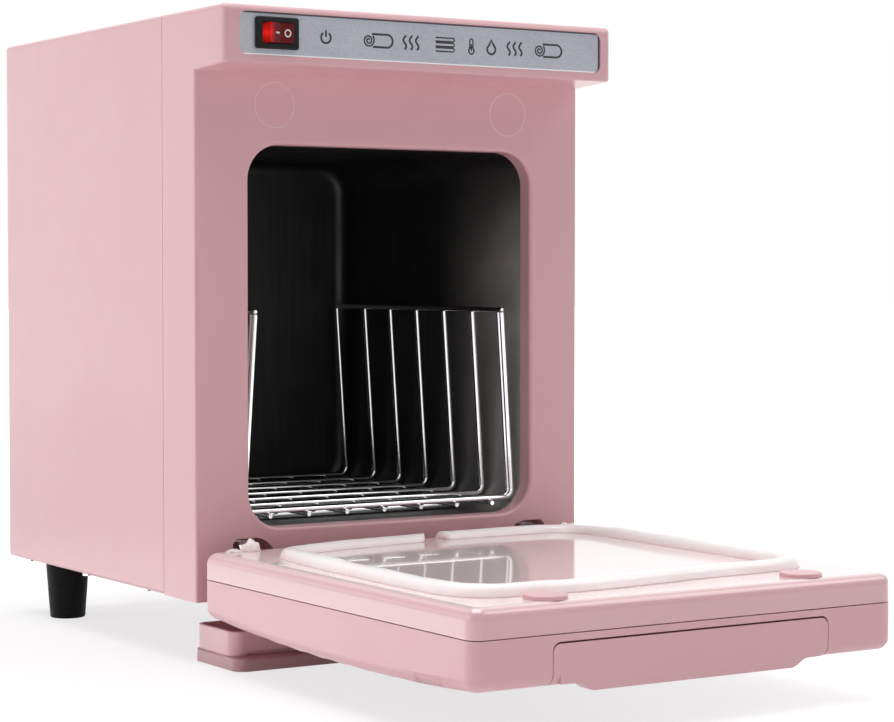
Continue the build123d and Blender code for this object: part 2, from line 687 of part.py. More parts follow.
with BuildPart() as switch_rocker:
    rocker_plane = Plane(origin=(SWITCH_X, ROCKER_Y, SWITCH_Z - ROCKER_H / 2))
    with BuildSketch(rocker_plane.rotated((0, 0, ROCKER_TILT))):
        with BuildLine():
            half = ROCKER_W / 2
            tip = half - 0.5
            Polyline(
                (-half, 2.6),
                (-tip, -6.4),
                (0, -5.2),
                (tip, -6.4),
                (half, 2.6),
                (3, 5.2),
                (-3, 5.2),
                close=True,
            )
        make_face()
    extrude(amount=ROCKER_H)
    with BuildSketch(rocker_plane):
        Circle(1.0 + RUN_FIT)
    extrude(amount=ROCKER_H, mode=Mode.SUBTRACT)
switch_rocker.part.label = "switch_rocker"

with BuildPart() as switch_lamp:
    with BuildSketch(Plane.XY.offset(SWITCH_Z - 4)):
        with Locations((SWITCH_X, LABEL_FACE + 9.6)):
            Circle(0.9)
    extrude(amount=8)
switch_lamp.part.label = "switch_lamp"

with BuildPart() as switch_terminals:
    with BuildSketch(front_plane(LABEL_FACE + SWITCH_BODY_D)):
        with Locations(*[(SWITCH_X + x, SWITCH_Z) for x in (-6.5, 0, 6.5)]):
            Rectangle(0.8, 4.7)
    extrude(amount=-7)
switch_terminals.part.label = "switch_terminals"

# =================================================================================
# Magnetic catch on the frame
# =================================================================================
CATCH_SITES = [(-CATCH_X, CATCH_Z), (CATCH_X, CATCH_Z)]
with BuildPart() as frame_magnet_covers:
    with BuildSketch(front_plane(0)):
        with Locations(*CATCH_SITES):
            Circle(CATCH_R - 0.45)
    extrude(amount=-(CAP_T - 0.05))
frame_magnet_covers.part.label = "frame_magnet_covers"

with BuildPart() as frame_magnets:
    with BuildSketch(front_plane(CAP_T)):
        with Locations(*CATCH_SITES):
            Circle(MAGNET_R)
    extrude(amount=-MAGNET_T)
frame_magnets.part.label = "frame_magnets"

# =================================================================================
# Hinges
# =================================================================================
with BuildPart() as hinge_brackets:
    for side in (-1, 1):
        with BuildSketch(front_plane(POCKET_D - FIT)):
            with Locations((side * HINGE_X, HINGE_Z + 3)):
                Rectangle(EAR_GAP + 2 * EAR_T, 13.0)
        extrude(amount=1.4)
        for ear in (-1, 1):
            ear_x = side * HINGE_X + ear * (EAR_GAP + EAR_T) / 2
            with BuildSketch(Plane.YZ.offset(ear_x - EAR_T / 2)):
                with BuildLine():
                    Polyline(
                        (POCKET_D - 1.4, HINGE_Z - 3.5),
                        (POCKET_D - 1.4, HINGE_Z + 9.5),
                        (3.0, HINGE_Z + 9.5),
                        (-1.0, HINGE_Z + EAR_R),
                        (HINGE_Y, HINGE_Z + EAR_R),
                        (HINGE_Y, HINGE_Z - EAR_R),
                        (1.5, HINGE_Z - 3.5),
                        close=True,
                    )
                make_face()
                with Locations((HINGE_Y, HINGE_Z)):
                    Circle(EAR_R)
                    Circle(PIN_R + 0.02, mode=Mode.SUBTRACT)
            extrude(amount=EAR_T)
        with BuildSketch(front_plane(POCKET_D + 1)):
            with Locations((side * HINGE_X, HINGE_Z + 5)):
                Circle(SCREW_R + SCREW_FIT)
        extrude(amount=4, mode=Mode.SUBTRACT)
hinge_brackets.part.label = "hinge_brackets"

hinge_bracket_screws = screw_set(
    [plane_at(side * HINGE_X, POCKET_D - FIT - 1.4, HINGE_Z + 5, (0, -1, 0)) for side in (-1, 1)],
    4.0,
    head_r=2.6,
)
hinge_bracket_screws.part.label = "hinge_bracket_screws"

with BuildPart() as hinge_pins:
    for side in (-1, 1):
        pin_x = side * HINGE_X - EAR_GAP / 2 - EAR_T
        with BuildSketch(Plane.YZ.offset(pin_x)):
            with Locations((HINGE_Y, HINGE_Z)):
                Circle(PIN_R)
        extrude(amount=EAR_GAP + 2 * EAR_T + 0.2)
        with BuildSketch(Plane.YZ.offset(pin_x - 0.7)):
            with Locations((HINGE_Y, HINGE_Z)):
                Circle(PIN_R + 0.8)
        extrude(amount=0.7)
hinge_pins.part.label = "hinge_pins"

LEAF_T = 1.2
LEAF_Z = HINGE_Z - KNUCKLE_R  # underside of the leaf
LEAF_END = -47.0
LEAF_SCREW_YS = (-27.0, -40.0)
with BuildPart() as hinge_leaves:
    for side in (-1, 1):
        with BuildSketch(Plane.YZ.offset(side * HINGE_X - KNUCKLE_L / 2)):
            with Locations((HINGE_Y, HINGE_Z)):
                Circle(KNUCKLE_R)
            with Locations(((HINGE_Y + LEAF_END) / 2, LEAF_Z + LEAF_T / 2)):
                Rectangle(HINGE_Y - LEAF_END, LEAF_T)
            with Locations((HINGE_Y, HINGE_Z)):
                Circle(PIN_R + RUN_FIT, mode=Mode.SUBTRACT)
        extrude(amount=KNUCKLE_L)
        with BuildSketch(Plane.XY.offset(LEAF_Z - 1)):
            with Locations(*[(side * HINGE_X, y) for y in LEAF_SCREW_YS]):
                Circle(SMALL_SCREW_R + SCREW_FIT)
        extrude(amount=LEAF_T + 2, mode=Mode.SUBTRACT)
hinge_leaves.part.label = "hinge_leaves"

hinge_leaf_screws = screw_set(
    [plane_at(side * HINGE_X, y, LEAF_Z, (0, 0, -1)) for side in (-1, 1) for y in LEAF_SCREW_YS],
    5.5,
    shank_r=SMALL_SCREW_R,
    head_r=2.4,
    head_h=1.3,
)
hinge_leaf_screws.part.label = "hinge_leaf_screws"

# =================================================================================
# Door
# =================================================================================
# case screws, hidden under the seal
DOOR_SCREW_SITES = [
    (104.5, -70.0),
    (101.3, -190.0),
    (40.0, -232.0),
    (-40.0, -240.5),
    (-105.3, -190.0),
    (-101.3, -70.0),
]


def door_outer_blank(inset, belly_r):
    """The bowed lower half of the door as a solid, drawn in by inset on every outer side."""
    with BuildPart() as blank:
        with BuildSketch(Plane.YZ.offset(-(DOOR_HALF_W - inset))):
            with BuildLine():
                near = (DOOR_NEAR - inset, DOOR_NEAR_Z + inset)
                far = (DOOR_FAR + inset, DOOR_FAR_Z + inset)
                ThreePointArc(near, (DOOR_MID_Y - 15, DOOR_BELLY + inset), far)
                rim_z = DOOR_PART - PART_GAP
                Polyline(far, (far[0], rim_z), (near[0], rim_z), near)
            make_face()
        extrude(amount=2 * (DOOR_HALF_W - inset))
        fillet(edges().filter_by(Axis.Z).group_by(Axis.Y)[0], DOOR_CORNER_R - inset)
        fillet(edges().filter_by(Axis.Z).group_by(Axis.Y)[-1], DOOR_NEAR_R)
        fillet(faces().filter_by(Plane.XY, reverse=True).sort_by(Axis.Z)[0].edges(), belly_r)
    return blank.part


with BuildPart() as door_outer_shell:
    add(door_outer_blank(0, DOOR_BELLY_R))
    add(door_outer_blank(WALL, 2.0), mode=Mode.SUBTRACT)
    # locating lip that stands up inside the inner cover, cut away at the hinges
    with BuildSketch(Plane.XY.offset(DOOR_PART - 4)):
        with Locations((0, DOOR_MID_Y)):
            RectangleRounded(2 * DOOR_HALF_W - 2 * WALL + 0.6, DOOR_L - 2 * WALL + 0.6, 4.8)
            RectangleRounded(DOOR_LIP_W, DOOR_LIP_L, 3.0, mode=Mode.SUBTRACT)
    extrude(amount=4)
    with BuildSketch(Plane.XY.offset(DOOR_PART)):
        with Locations((0, DOOR_MID_Y)):
            RectangleRounded(2 * DOOR_HALF_W - 2 * WALL - 0.4, DOOR_L - 2 * WALL - 0.4, 4.3)
            RectangleRounded(DOOR_LIP_W, DOOR_LIP_L, 3.0, mode=Mode.SUBTRACT)
    extrude(amount=2)
    with BuildSketch(Plane.XY.offset(DOOR_PART)):
        with Locations((-HINGE_X, DOOR_NEAR), (HINGE_X, DOOR_NEAR)):
            Rectangle(24, 20)
    extrude(amount=3, mode=Mode.SUBTRACT)
    with BuildSketch(Plane.XY.offset(DOOR_PART)):
        with Locations(*DOOR_SCREW_SITES):
            Circle(CASE_BOSS_R)
    extrude(amount=-DOOR_BOSS_DEPTH)
    with BuildSketch(Plane.XY.offset(DOOR_PART)):
        with Locations(*DOOR_SCREW_SITES):
            Circle(SMALL_SCREW_R + SCREW_FIT)
    extrude(amount=-12, mode=Mode.SUBTRACT)
    # window for the handle insert in the free edge
    with BuildSketch(front_plane(DOOR_FAR + HANDLE_D + 0.2)):
        with Locations((0, HANDLE_TOP - 20 + HANDLE_TOP_GAP / 2)):
            RectangleRounded(2 * HANDLE_HALF_W + 0.8, 40 + HANDLE_TOP_GAP, 4.2)
    extrude(amount=HANDLE_D + 2, mode=Mode.SUBTRACT)
door_outer_shell.part.label = "door_outer_shell"

# handle insert: fills the window flush, with a finger lip below the belly
with BuildPart() as door_handle:
    add(door_outer_blank(0, DOOR_BELLY_R))
    with BuildSketch(front_plane(DOOR_FAR - 1)):
        with Locations((0, HANDLE_TOP - 20)):
            RectangleRounded(2 * HANDLE_HALF_W, 40, 4)
    extrude(amount=-(HANDLE_D + 1), mode=Mode.INTERSECT)
    with BuildSketch(front_plane(DOOR_FAR)):
        with BuildLine():
            for side in (-1, 1):
                outer_end = (side * (LIP_HALF_W + 11), LIP_Z + 4.0)
                lip_end = (side * LIP_HALF_W, LIP_Z)
                Spline(outer_end, lip_end, tangents=((-side, 0), (-side, 0)))
                inner_x = side * (HANDLE_HALF_W - 4)
                Polyline(outer_end, (inner_x, LIP_Z + 4.2), (inner_x, 34))
            Line((-LIP_HALF_W, LIP_Z), (LIP_HALF_W, LIP_Z))
            Line((-(HANDLE_HALF_W - 4), 34), (HANDLE_HALF_W - 4, 34))
        make_face()
    extrude(amount=-LIP_D)
    with BuildSketch(front_plane(DOOR_FAR + WALL + 1)):
        with Locations((0, (HANDLE_TOP - WALL + 29) / 2)):
            Rectangle(2 * HANDLE_HALF_W - 2 * WALL, HANDLE_TOP - WALL - 29)
    extrude(amount=-HANDLE_D, mode=Mode.SUBTRACT)
door_handle.part.label = "door_handle"

GROOVE_FLOOR = DOOR_TOP - SEAL_FOOT_D
MAGNET_LOW = DOOR_TOP - CAP_T - MAGNET_T
DOOR_CAP_SITES = [(-CATCH_X, DOOR_CAP_Y), (CATCH_X, DOOR_CAP_Y)]
NOTCH_HALF_W = EAR_GAP / 2 + EAR_T + 0.7
NOTCH_BACK = -16.6
with BuildPart() as door_inner_cover:
    with BuildSketch(Plane.XY.offset(DOOR_PART)):
        with Locations((0, DOOR_MID_Y)):
            Rectangle(2 * DOOR_HALF_W, DOOR_L)
    extrude(amount=DOOR_TOP - DOOR_PART)
    fillet(edges().filter_by(Axis.Z).group_by(Axis.Y)[0], DOOR_CORNER_R)
    fillet(edges().filter_by(Axis.Z).group_by(Axis.Y)[-1], DOOR_NEAR_R)
    fillet(faces().sort_by(Axis.Z)[-1].edges(), DOOR_TOP_R)
    with BuildSketch(Plane.XY.offset(DOOR_PART)):
        with Locations((0, DOOR_MID_Y)):
            RectangleRounded(2 * DOOR_HALF_W - 2 * WALL, DOOR_L - 2 * WALL, DOOR_CORNER_R - WALL)
    extrude(amount=DOOR_TOP - DOOR_PART - 2 * WALL, mode=Mode.SUBTRACT)
    with BuildSketch(Plane.XY.offset(DOOR_TOP - 2 * WALL)):
        with Locations((0, DOOR_MID_Y)):
            RectangleRounded(2 * DOOR_HALF_W - 4 * WALL, DOOR_L - 4 * WALL, 2)
    extrude(amount=WALL, mode=Mode.SUBTRACT)
    # bosses: case screws, leaf screws, magnet cups and the blocks round the hinge notches
    with BuildSketch(Plane.XY.offset(DOOR_PART + FIT)):
        with Locations(*DOOR_SCREW_SITES):
            Circle(CASE_BOSS_R)
    extrude(amount=DOOR_TOP - WALL - DOOR_PART)
    with BuildSketch(Plane.XY.offset(LEAF_Z + LEAF_T + FIT)):
        with Locations(*[(side * HINGE_X, y) for side in (-1, 1) for y in LEAF_SCREW_YS]):
            Circle(3.2)
    extrude(amount=DOOR_TOP - WALL - LEAF_Z - LEAF_T)
    with BuildSketch(Plane.XY.offset(MAGNET_LOW - 1.5)):
        with Locations(*DOOR_CAP_SITES):
            Circle(MAGNET_R + 1.8)
    extrude(amount=CAP_T + MAGNET_T)
    with BuildSketch(Plane.XY.offset(DOOR_PART)):
        with Locations((-HINGE_X, DOOR_NEAR - 3.9), (HINGE_X, DOOR_NEAR - 3.9)):
            Rectangle(2 * NOTCH_HALF_W + 3, 6.8)
    extrude(amount=DOOR_TOP - WALL - DOOR_PART)
    # cuts: hinge notches and leaf slots, magnet cups, seal groove, screw holes
    with BuildSketch(Plane.XY.offset(DOOR_PART - 1)):
        with Locations((-HINGE_X, NOTCH_BACK + 5), (HINGE_X, NOTCH_BACK + 5)):
            Rectangle(2 * NOTCH_HALF_W, 10)
    extrude(amount=DOOR_TOP - DOOR_PART + 2, mode=Mode.SUBTRACT)
    with BuildSketch(Plane.XY.offset(LEAF_Z - FIT)):
        with Locations((-HINGE_X, NOTCH_BACK - 2), (HINGE_X, NOTCH_BACK - 2)):
            Rectangle(KNUCKLE_L + 0.4, 6)
    extrude(amount=LEAF_T + 2 * FIT, mode=Mode.SUBTRACT)
    with BuildSketch(Plane.XY.offset(MAGNET_LOW)):
        with Locations(*DOOR_CAP_SITES):
            Circle(MAGNET_R + FIT)
    extrude(amount=CAP_T + MAGNET_T + 1, mode=Mode.SUBTRACT)
    with BuildSketch(Plane.XY.offset(GROOVE_FLOOR)):
        seal_track(SEAL_FOOT_W + 2 * FIT)
    extrude(amount=SEAL_FOOT_D + 1, mode=Mode.SUBTRACT)
    with BuildSketch(Plane.XY.offset(GROOVE_FLOOR)):
        with Locations(*DOOR_SCREW_SITES):
            Circle(2.6 + FIT)
    extrude(amount=-1.5, mode=Mode.SUBTRACT)
    with BuildSketch(Plane.XY.offset(GROOVE_FLOOR)):
        with Locations(*DOOR_SCREW_SITES):
            Circle(SMALL_SCREW_R + SCREW_FIT)
    extrude(amount=-15, mode=Mode.SUBTRACT)
    with BuildSketch(Plane.XY.offset(LEAF_Z + LEAF_T)):
        with Locations(*[(side * HINGE_X, y) for side in (-1, 1) for y in LEAF_SCREW_YS]):
            Circle(SMALL_SCREW_R + SCREW_FIT)
    extrude(amount=5, mode=Mode.SUBTRACT)
door_inner_cover.part.label = "door_inner_cover"

door_screws = screw_set(
    [plane_at(x, y, GROOVE_FLOOR - 1.4, (0, 0, 1)) for x, y in DOOR_SCREW_SITES],
    19.0,
    shank_r=SMALL_SCREW_R,
    head_r=2.6,
    head_h=1.2,
)
door_screws.part.label = "door_screws"

# silicone seal: a foot in the groove and a round-topped bead above it
with BuildPart() as door_seal:
    with BuildSketch(Plane.XY.offset(GROOVE_FLOOR + 0.05)):
        seal_track(SEAL_FOOT_W)
    extrude(amount=SEAL_FOOT_D)
    with BuildLine(Plane.XY.offset(DOOR_TOP + 0.05)) as seal_line:
        Spline(*SEAL_PATH)
    with BuildSketch(Plane(seal_line.line @ 0, x_dir=(0, 0, 1), z_dir=seal_line.line % 0)):
        with BuildLine():
            half = SEAL_W / 2
            Line((0, -half), (SEAL_SHOULDER, -half))
            ThreePointArc((SEAL_SHOULDER, -half), (SEAL_H - 0.05, 0), (SEAL_SHOULDER, half))
            Polyline((SEAL_SHOULDER, half), (0, half), (0, -half))
        make_face()
    sweep(path=seal_line.line)
door_seal.part.label = "door_seal"

with BuildPart() as door_magnets:
    with BuildSketch(Plane.XY.offset(MAGNET_LOW + 0.05)):
        with Locations(*DOOR_CAP_SITES):
            Circle(MAGNET_R)
    extrude(amount=MAGNET_T - 0.1)
door_magnets.part.label = "door_magnets"

with BuildPart() as door_magnet_caps:
    with BuildSketch(Plane.XY.offset(DOOR_TOP - CAP_T + 0.05)):
        with Locations(*DOOR_CAP_SITES):
            Circle(MAGNET_R)
    extrude(amount=CAP_T)
    with BuildSketch(Plane.XY.offset(DOOR_TOP + 0.02)):
        with Locations(*DOOR_CAP_SITES):
            Circle(DOOR_CAP_R)
    extrude(amount=CAP_T)
    fillet(edges().filter_by(GeomType.CIRCLE).group_by(Axis.Z)[-1], 0.6)
door_magnet_caps.part.label = "door_magnet_caps"

# soft pads and lumps beside the hinges
BUFFERS = [
    (-108.5, -19.5, 4.2, 2.0),
    (-98.5, -18.6, 3.4, 3.8),
    (101.5, -18.4, 2.6, 3.4),
    (107.0, -18.0, 2.4, 3.0),
]
with BuildPart() as hinge_buffers:
    for buffer_x, buffer_y, buffer_r, buffer_h in BUFFERS:
        with BuildSketch(Plane.XY.offset(DOOR_TOP + 0.05)):
            with Locations((buffer_x, buffer_y)):
                Circle(buffer_r)
        extrude(amount=buffer_h)
    fillet(edges().filter_by(GeomType.CIRCLE).group_by(Axis.Z)[-1], 0.8)
hinge_buffers.part.label = "hinge_buffers"

with BuildPart() as door_insulation:
    with BuildSketch(Plane.XY.offset(PAD_Z[0])):
        with Locations((0, PAD_Y)):
            RectangleRounded(PAD_W, PAD_L, 8.0)
    extrude(amount=PAD_Z[1] - PAD_Z[0])
door_insulation.part.label = "door_insulation"

# =================================================================================
# Front stand and drip tray
# =================================================================================
POST_SITES = [(side * POST_X, sum(POST_Y) / 2) for side in (-1, 1)]
STAND_MID_Y = (STAND_FRONT + STAND_BACK) / 2
STAND_L = STAND_BACK - STAND_FRONT
with BuildPart() as front_stand:
    with BuildSketch():
        with Locations((0, STAND_MID_Y)):
            RectangleRounded(2 * STAND_HALF_W, STAND_L, STAND_R)
        with Locations((0, TAIL_MID_Y)):
            Rectangle(TAIL_W, 2 * (POST_Y[1] - TAIL_MID_Y))
    extrude(amount=STAND_BASE_T)
    fillet(edges().filter_by(Axis.X).group_by(Axis.Y)[0].group_by(Axis.Z)[-1], 1.2)
    with BuildSketch(Plane.XY.offset(STAND_BASE_T)):
        with Locations((-RAIL_X, 0), (RAIL_X, 0)):
            Rectangle(RAIL_W, RAIL_L)
    extrude(amount=RAIL_H)
    # two hollow posts that carry the cabinet
    with BuildSketch(Plane.XY.offset(STAND_BASE_T)):
        with Locations(*POST_SITES):
            RectangleRounded(POST_W, POST_Y[1] - POST_Y[0], 2.0)
    extrude(amount=FLOOR_GAP - STAND_BASE_T - 0.05)
    with BuildSketch():
        with Locations(*POST_SITES):
            Circle(3.4)
    extrude(amount=FLOOR_GAP - 4.0, mode=Mode.SUBTRACT)
    with BuildSketch():
        with Locations(*POST_SITES):
            Circle(SCREW_R + SCREW_FIT)
    extrude(amount=FLOOR_GAP, mode=Mode.SUBTRACT)
front_stand.part.label = "front_stand"

stand_screws = screw_set([plane_at(x, y, FLOOR_GAP - 4.0, (0, 0, -1)) for x, y in POST_SITES], 12.0)
stand_screws.part.label = "stand_screws"

TRAY_L = TRAY_BACK - TRAY_FRONT
TRAY_MID_Y = (TRAY_FRONT + TRAY_BACK) / 2
TRAY_LOW = STAND_BASE_T + 0.05
with BuildPart() as drip_tray:
    with BuildSketch(Plane.XY.offset(TRAY_LOW)):
        with Locations((0, TRAY_MID_Y)):
            RectangleRounded(2 * TRAY_HALF_W, TRAY_L, STAND_R - 0.5)
    extrude(amount=TRAY_TOP - TRAY_LOW)
    with BuildSketch(Plane.XY.offset(TRAY_LOW + TRAY_FLOOR_T)):
        with Locations((0, TRAY_MID_Y)):
            RectangleRounded(2 * (TRAY_HALF_W - TRAY_WALL), TRAY_L - 2 * TRAY_WALL, STAND_R - 0.5 - TRAY_WALL)
    extrude(amount=TRAY_TOP, mode=Mode.SUBTRACT)
    fillet(edges().group_by(Axis.Z)[-1], 0.6)
    with BuildSketch(Plane.XY.offset(TRAY_LOW - 1)):
        with Locations((-RAIL_X, TRAY_BACK), (RAIL_X, TRAY_BACK)):
            Rectangle(RAIL_W + 0.3, 2 * (TRAY_L - 3))
    extrude(amount=1 + RAIL_H + 0.1, mode=Mode.SUBTRACT)
    # finger gap under the front wall
    with BuildSketch(Plane.YZ.offset(-TRAY_HALF_W + 8)):
        with Locations((TRAY_FRONT, TRAY_LOW)):
            Rectangle(3.2, 4.0)
    extrude(amount=2 * TRAY_HALF_W - 16, mode=Mode.SUBTRACT)
drip_tray.part.label = "drip_tray"

# =================================================================================
# Rear feet
# =================================================================================
FOOT_BORE_H = 24.0
with BuildPart() as rear_feet:
    for foot_x, foot_y in FOOT_SITES:
        with BuildSketch(Plane.XY):
            with Locations((foot_x, foot_y)):
                Circle(FOOT_R)
        with BuildSketch(Plane.XY.offset(FLOOR_GAP)):
            with Locations((foot_x, foot_y)):
                Circle(FOOT_TOP_R)
        loft()
    fillet(edges().filter_by(GeomType.CIRCLE).group_by(Axis.Z)[0], 1.0)
    with BuildSketch(Plane.XY.offset(FLOOR_GAP)):
        with Locations(*FOOT_SITES):
            Circle(6.0)
    extrude(amount=SHEET)
    with BuildSketch():
        with Locations(*FOOT_SITES):
            Circle(5.0)
    extrude(amount=FOOT_BORE_H, mode=Mode.SUBTRACT)
    with BuildSketch():
        with Locations(*FOOT_SITES):
            Circle(2.0 + SCREW_FIT)
    extrude(amount=FLOOR_GAP + 2, mode=Mode.SUBTRACT)
rear_feet.part.label = "rear_feet"

foot_screws = screw_set(
    [plane_at(x, y, FOOT_BORE_H, (0, 0, -1)) for x, y in FOOT_SITES],
    17.0,
    shank_r=2.0,
    head_r=3.8,
    head_h=2.4,
)
foot_screws.part.label = "foot_screws"

with BuildPart() as foot_nuts:
    with BuildSketch(Plane.XY.offset(FLOOR_GAP + 2 * SHEET)):
        with Locations(*FOOT_SITES):
            RegularPolygon(4.0, 6)
            Circle(2.0 + SCREW_FIT, mode=Mode.SUBTRACT)
    extrude(amount=3.2)
foot_nuts.part.label = "foot_nuts"

# =================================================================================
# Cord, plug and wiring
# =================================================================================
with BuildPart() as cord_bush:
    with BuildSketch(front_plane(BODY_D - BACK_T - 2.2)):
        with Locations((CORD_X, CORD_Z)):
            Circle(CORD_HOLE_R + 1.6)
    extrude(amount=-2.1)
    with BuildSketch(front_plane(BODY_D + 0.1)):
        with Locations((CORD_X, CORD_Z)):
            Circle(CORD_HOLE_R + 1.8)
    extrude(amount=-2.4)
    with BuildSketch(front_plane(BODY_D - BACK_T - 2.2)):
        with Locations((CORD_X, CORD_Z)):
            Circle(CORD_HOLE_R - 0.06)
    extrude(amount=-12.0)
    with BuildSketch(front_plane(BODY_D - 20)):
        with Locations((CORD_X, CORD_Z)):
            Circle(CORD_R + 0.05)
    extrude(amount=-40, mode=Mode.SUBTRACT)
cord_bush.part.label = "cord_bush"

# the cord leaves the bush and hangs behind the cabinet as a tied oval hank
HANK_X = 26.0
HANK_Z = 150.0
HANK_HALF_W = 34.0
HANK_HALF_H = 62.0
HANK_TURNS = 2.5
HANK_STEPS = 30
HANK_PITCH = 7.4
PLUG_X = -34.0
PLUG_Y = 286.0
PLUG_Z = 92.0
HANK_POINTS = []
for step in range(1, HANK_STEPS + 1):
    hank_turn = HANK_TURNS * step / HANK_STEPS
    hank_angle = 2 * math.pi * hank_turn
    HANK_POINTS.append(
        (
            HANK_X + HANK_HALF_W * math.cos(hank_angle),
            CORD_BACK + HANK_PITCH * (hank_turn - 0.5),
            HANK_Z + HANK_HALF_H * math.sin(hank_angle),
        )
    )
with BuildPart() as power_cord:
    with BuildLine() as cord_path:
        Line((CORD_X, BODY_D - 9, CORD_Z), (CORD_X, BODY_D + 12, CORD_Z))
        Spline(
            (CORD_X, BODY_D + 12, CORD_Z),
            *HANK_POINTS,
            (PLUG_X, PLUG_Y, PLUG_Z + 12),
            tangents=((0, 1, 0), (0, 0, -1)),
        )
    with BuildSketch(Plane(origin=cord_path.line @ 0, z_dir=cord_path.line % 0)):
        Circle(CORD_R)
    sweep()
power_cord.part.label = "power_cord"

with BuildPart() as plug_body:
    with BuildSketch(Plane.XY.offset(PLUG_Z)):
        with Locations((PLUG_X, PLUG_Y)):
            RectangleRounded(25.0, 16.0, 5.0)
    extrude(amount=-20.0)
    with BuildSketch(Plane.XY.offset(PLUG_Z)):
        with Locations((PLUG_X, PLUG_Y)):
            Circle(5.2)
    extrude(amount=11.5)
    fillet(edges().filter_by(GeomType.CIRCLE).group_by(Axis.Z)[-1], 1.2)
    fillet(faces().filter_by(Axis.Z).group_by(Axis.Z)[-2].edges().filter_by(GeomType.LINE), 2.0)
    with BuildSketch(Plane.XY.offset(PLUG_Z - 20.0)):
        with Locations((PLUG_X - 6.35, PLUG_Y), (PLUG_X + 6.35, PLUG_Y)):
            Rectangle(1.54, 6.4)
    extrude(amount=6.0, mode=Mode.SUBTRACT)
plug_body.part.label = "plug_body"

with BuildPart() as plug_blades:
    with BuildSketch(Plane.XY.offset(PLUG_Z - 14.1)):
        with Locations((PLUG_X - 6.35, PLUG_Y), (PLUG_X + 6.35, PLUG_Y)):
            Rectangle(1.5, 6.3)
    extrude(amount=-22.0)
plug_blades.part.label = "plug_blades"

# wrapped round the top of the hank
TIE_W = 10.0
with BuildPart() as cord_tie:
    with BuildSketch(Plane.YZ.offset(HANK_X - TIE_W / 2)):
        with Locations((CORD_BACK + 0.75 * HANK_PITCH, HANK_Z + HANK_HALF_H)):
            RectangleRounded(26.0, 11.0, 4.5)
            RectangleRounded(24.4, 9.4, 3.8, mode=Mode.SUBTRACT)
    extrude(amount=TIE_W)
cord_tie.part.label = "cord_tie"

BLOCK_BACK = BODY_D - 9.4
with BuildPart() as terminal_block:
    with BuildSketch(front_plane(BLOCK_BACK)):
        with Locations((CORD_X, CORD_Z)):
            Rectangle(26, 14)
    extrude(amount=12)
    with BuildSketch(Plane.XY.offset(CORD_Z + 7)):
        with GridLocations(8.5, 0, 3, 1):
            with Locations((CORD_X, BLOCK_BACK - 6)):
                Circle(2.2)
    extrude(amount=-5, mode=Mode.SUBTRACT)
terminal_block.part.label = "terminal_block"


WIRE_R = 1.1
WIRE_LOW = CORD_Z + 7.3
WIRE_BACK_Y = BLOCK_BACK - 6
TERMINAL_Y = LABEL_FACE + SWITCH_BODY_D + 7.3
WIRE_ROUTES = []
for lane, terminal_x in enumerate((SWITCH_X - 6.5, SWITCH_X + 6.5)):
    lane_x = CORD_X + 8.5 * (1 - lane)
    lane_z = 312.0 + 5 * lane
    WIRE_ROUTES.append(
        [
            (lane_x, WIRE_BACK_Y, WIRE_LOW),
            (lane_x, WIRE_BACK_Y, lane_z),
            (lane_x, TERMINAL_Y + 18 + 6 * lane, lane_z),
            (terminal_x, TERMINAL_Y + 12 + 5 * lane, SWITCH_Z),
            (terminal_x, TERMINAL_Y, SWITCH_Z),
        ]
    )
WIRE_ROUTES.append(
    [
        (CORD_X - 8.5, WIRE_BACK_Y, WIRE_LOW),
        (CORD_X - 8.5, WIRE_BACK_Y, GUARD_Z - 20),
        (11, WIRE_BACK_Y, GUARD_Z - 20),
        (11, LINER_BACK + INSULATION_T + 3, GUARD_Z - 20),
    ]
)
WIRES = [bent_wire(Plane.XY, route, 3.0, WIRE_R) for route in WIRE_ROUTES]
with BuildPart() as wiring:
    for wire in WIRES:
        add(wire)
wiring.part.label = "wiring"

# =================================================================================
# Write one STEP file per piece
# =================================================================================
PIECES = [
    front_frame,
    outer_shell,
    back_cover,
    back_cover_screws,
    bottom_plate,
    bottom_plate_screws,
    inner_liner,
    liner_screws,
    heater_element,
    heater_pan,
    heater_nuts,
    insulation_sleeve,
    insulation_slab,
    thermostat,
    thermal_fuse,
    wire_rack,
    control_label,
    switch_housing,
    switch_rocker,
    switch_lamp,
    switch_terminals,
    frame_magnet_covers,
    frame_magnets,
    hinge_brackets,
    hinge_bracket_screws,
    hinge_pins,
    hinge_leaves,
    hinge_leaf_screws,
    door_outer_shell,
    door_handle,
    door_inner_cover,
    door_screws,
    door_seal,
    door_magnets,
    door_magnet_caps,
    hinge_buffers,
    door_insulation,
    front_stand,
    stand_screws,
    drip_tray,
    rear_feet,
    foot_screws,
    foot_nuts,
    cord_bush,
    power_cord,
    plug_body,
    plug_blades,
    cord_tie,
    terminal_block,
    wiring,
]
for piece in PIECES:
    export_step(piece.part, f"parts/{piece.part.label}.step")
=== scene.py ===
import bmesh
import bpy
import json
import math
from mathutils import Matrix, Vector, noise


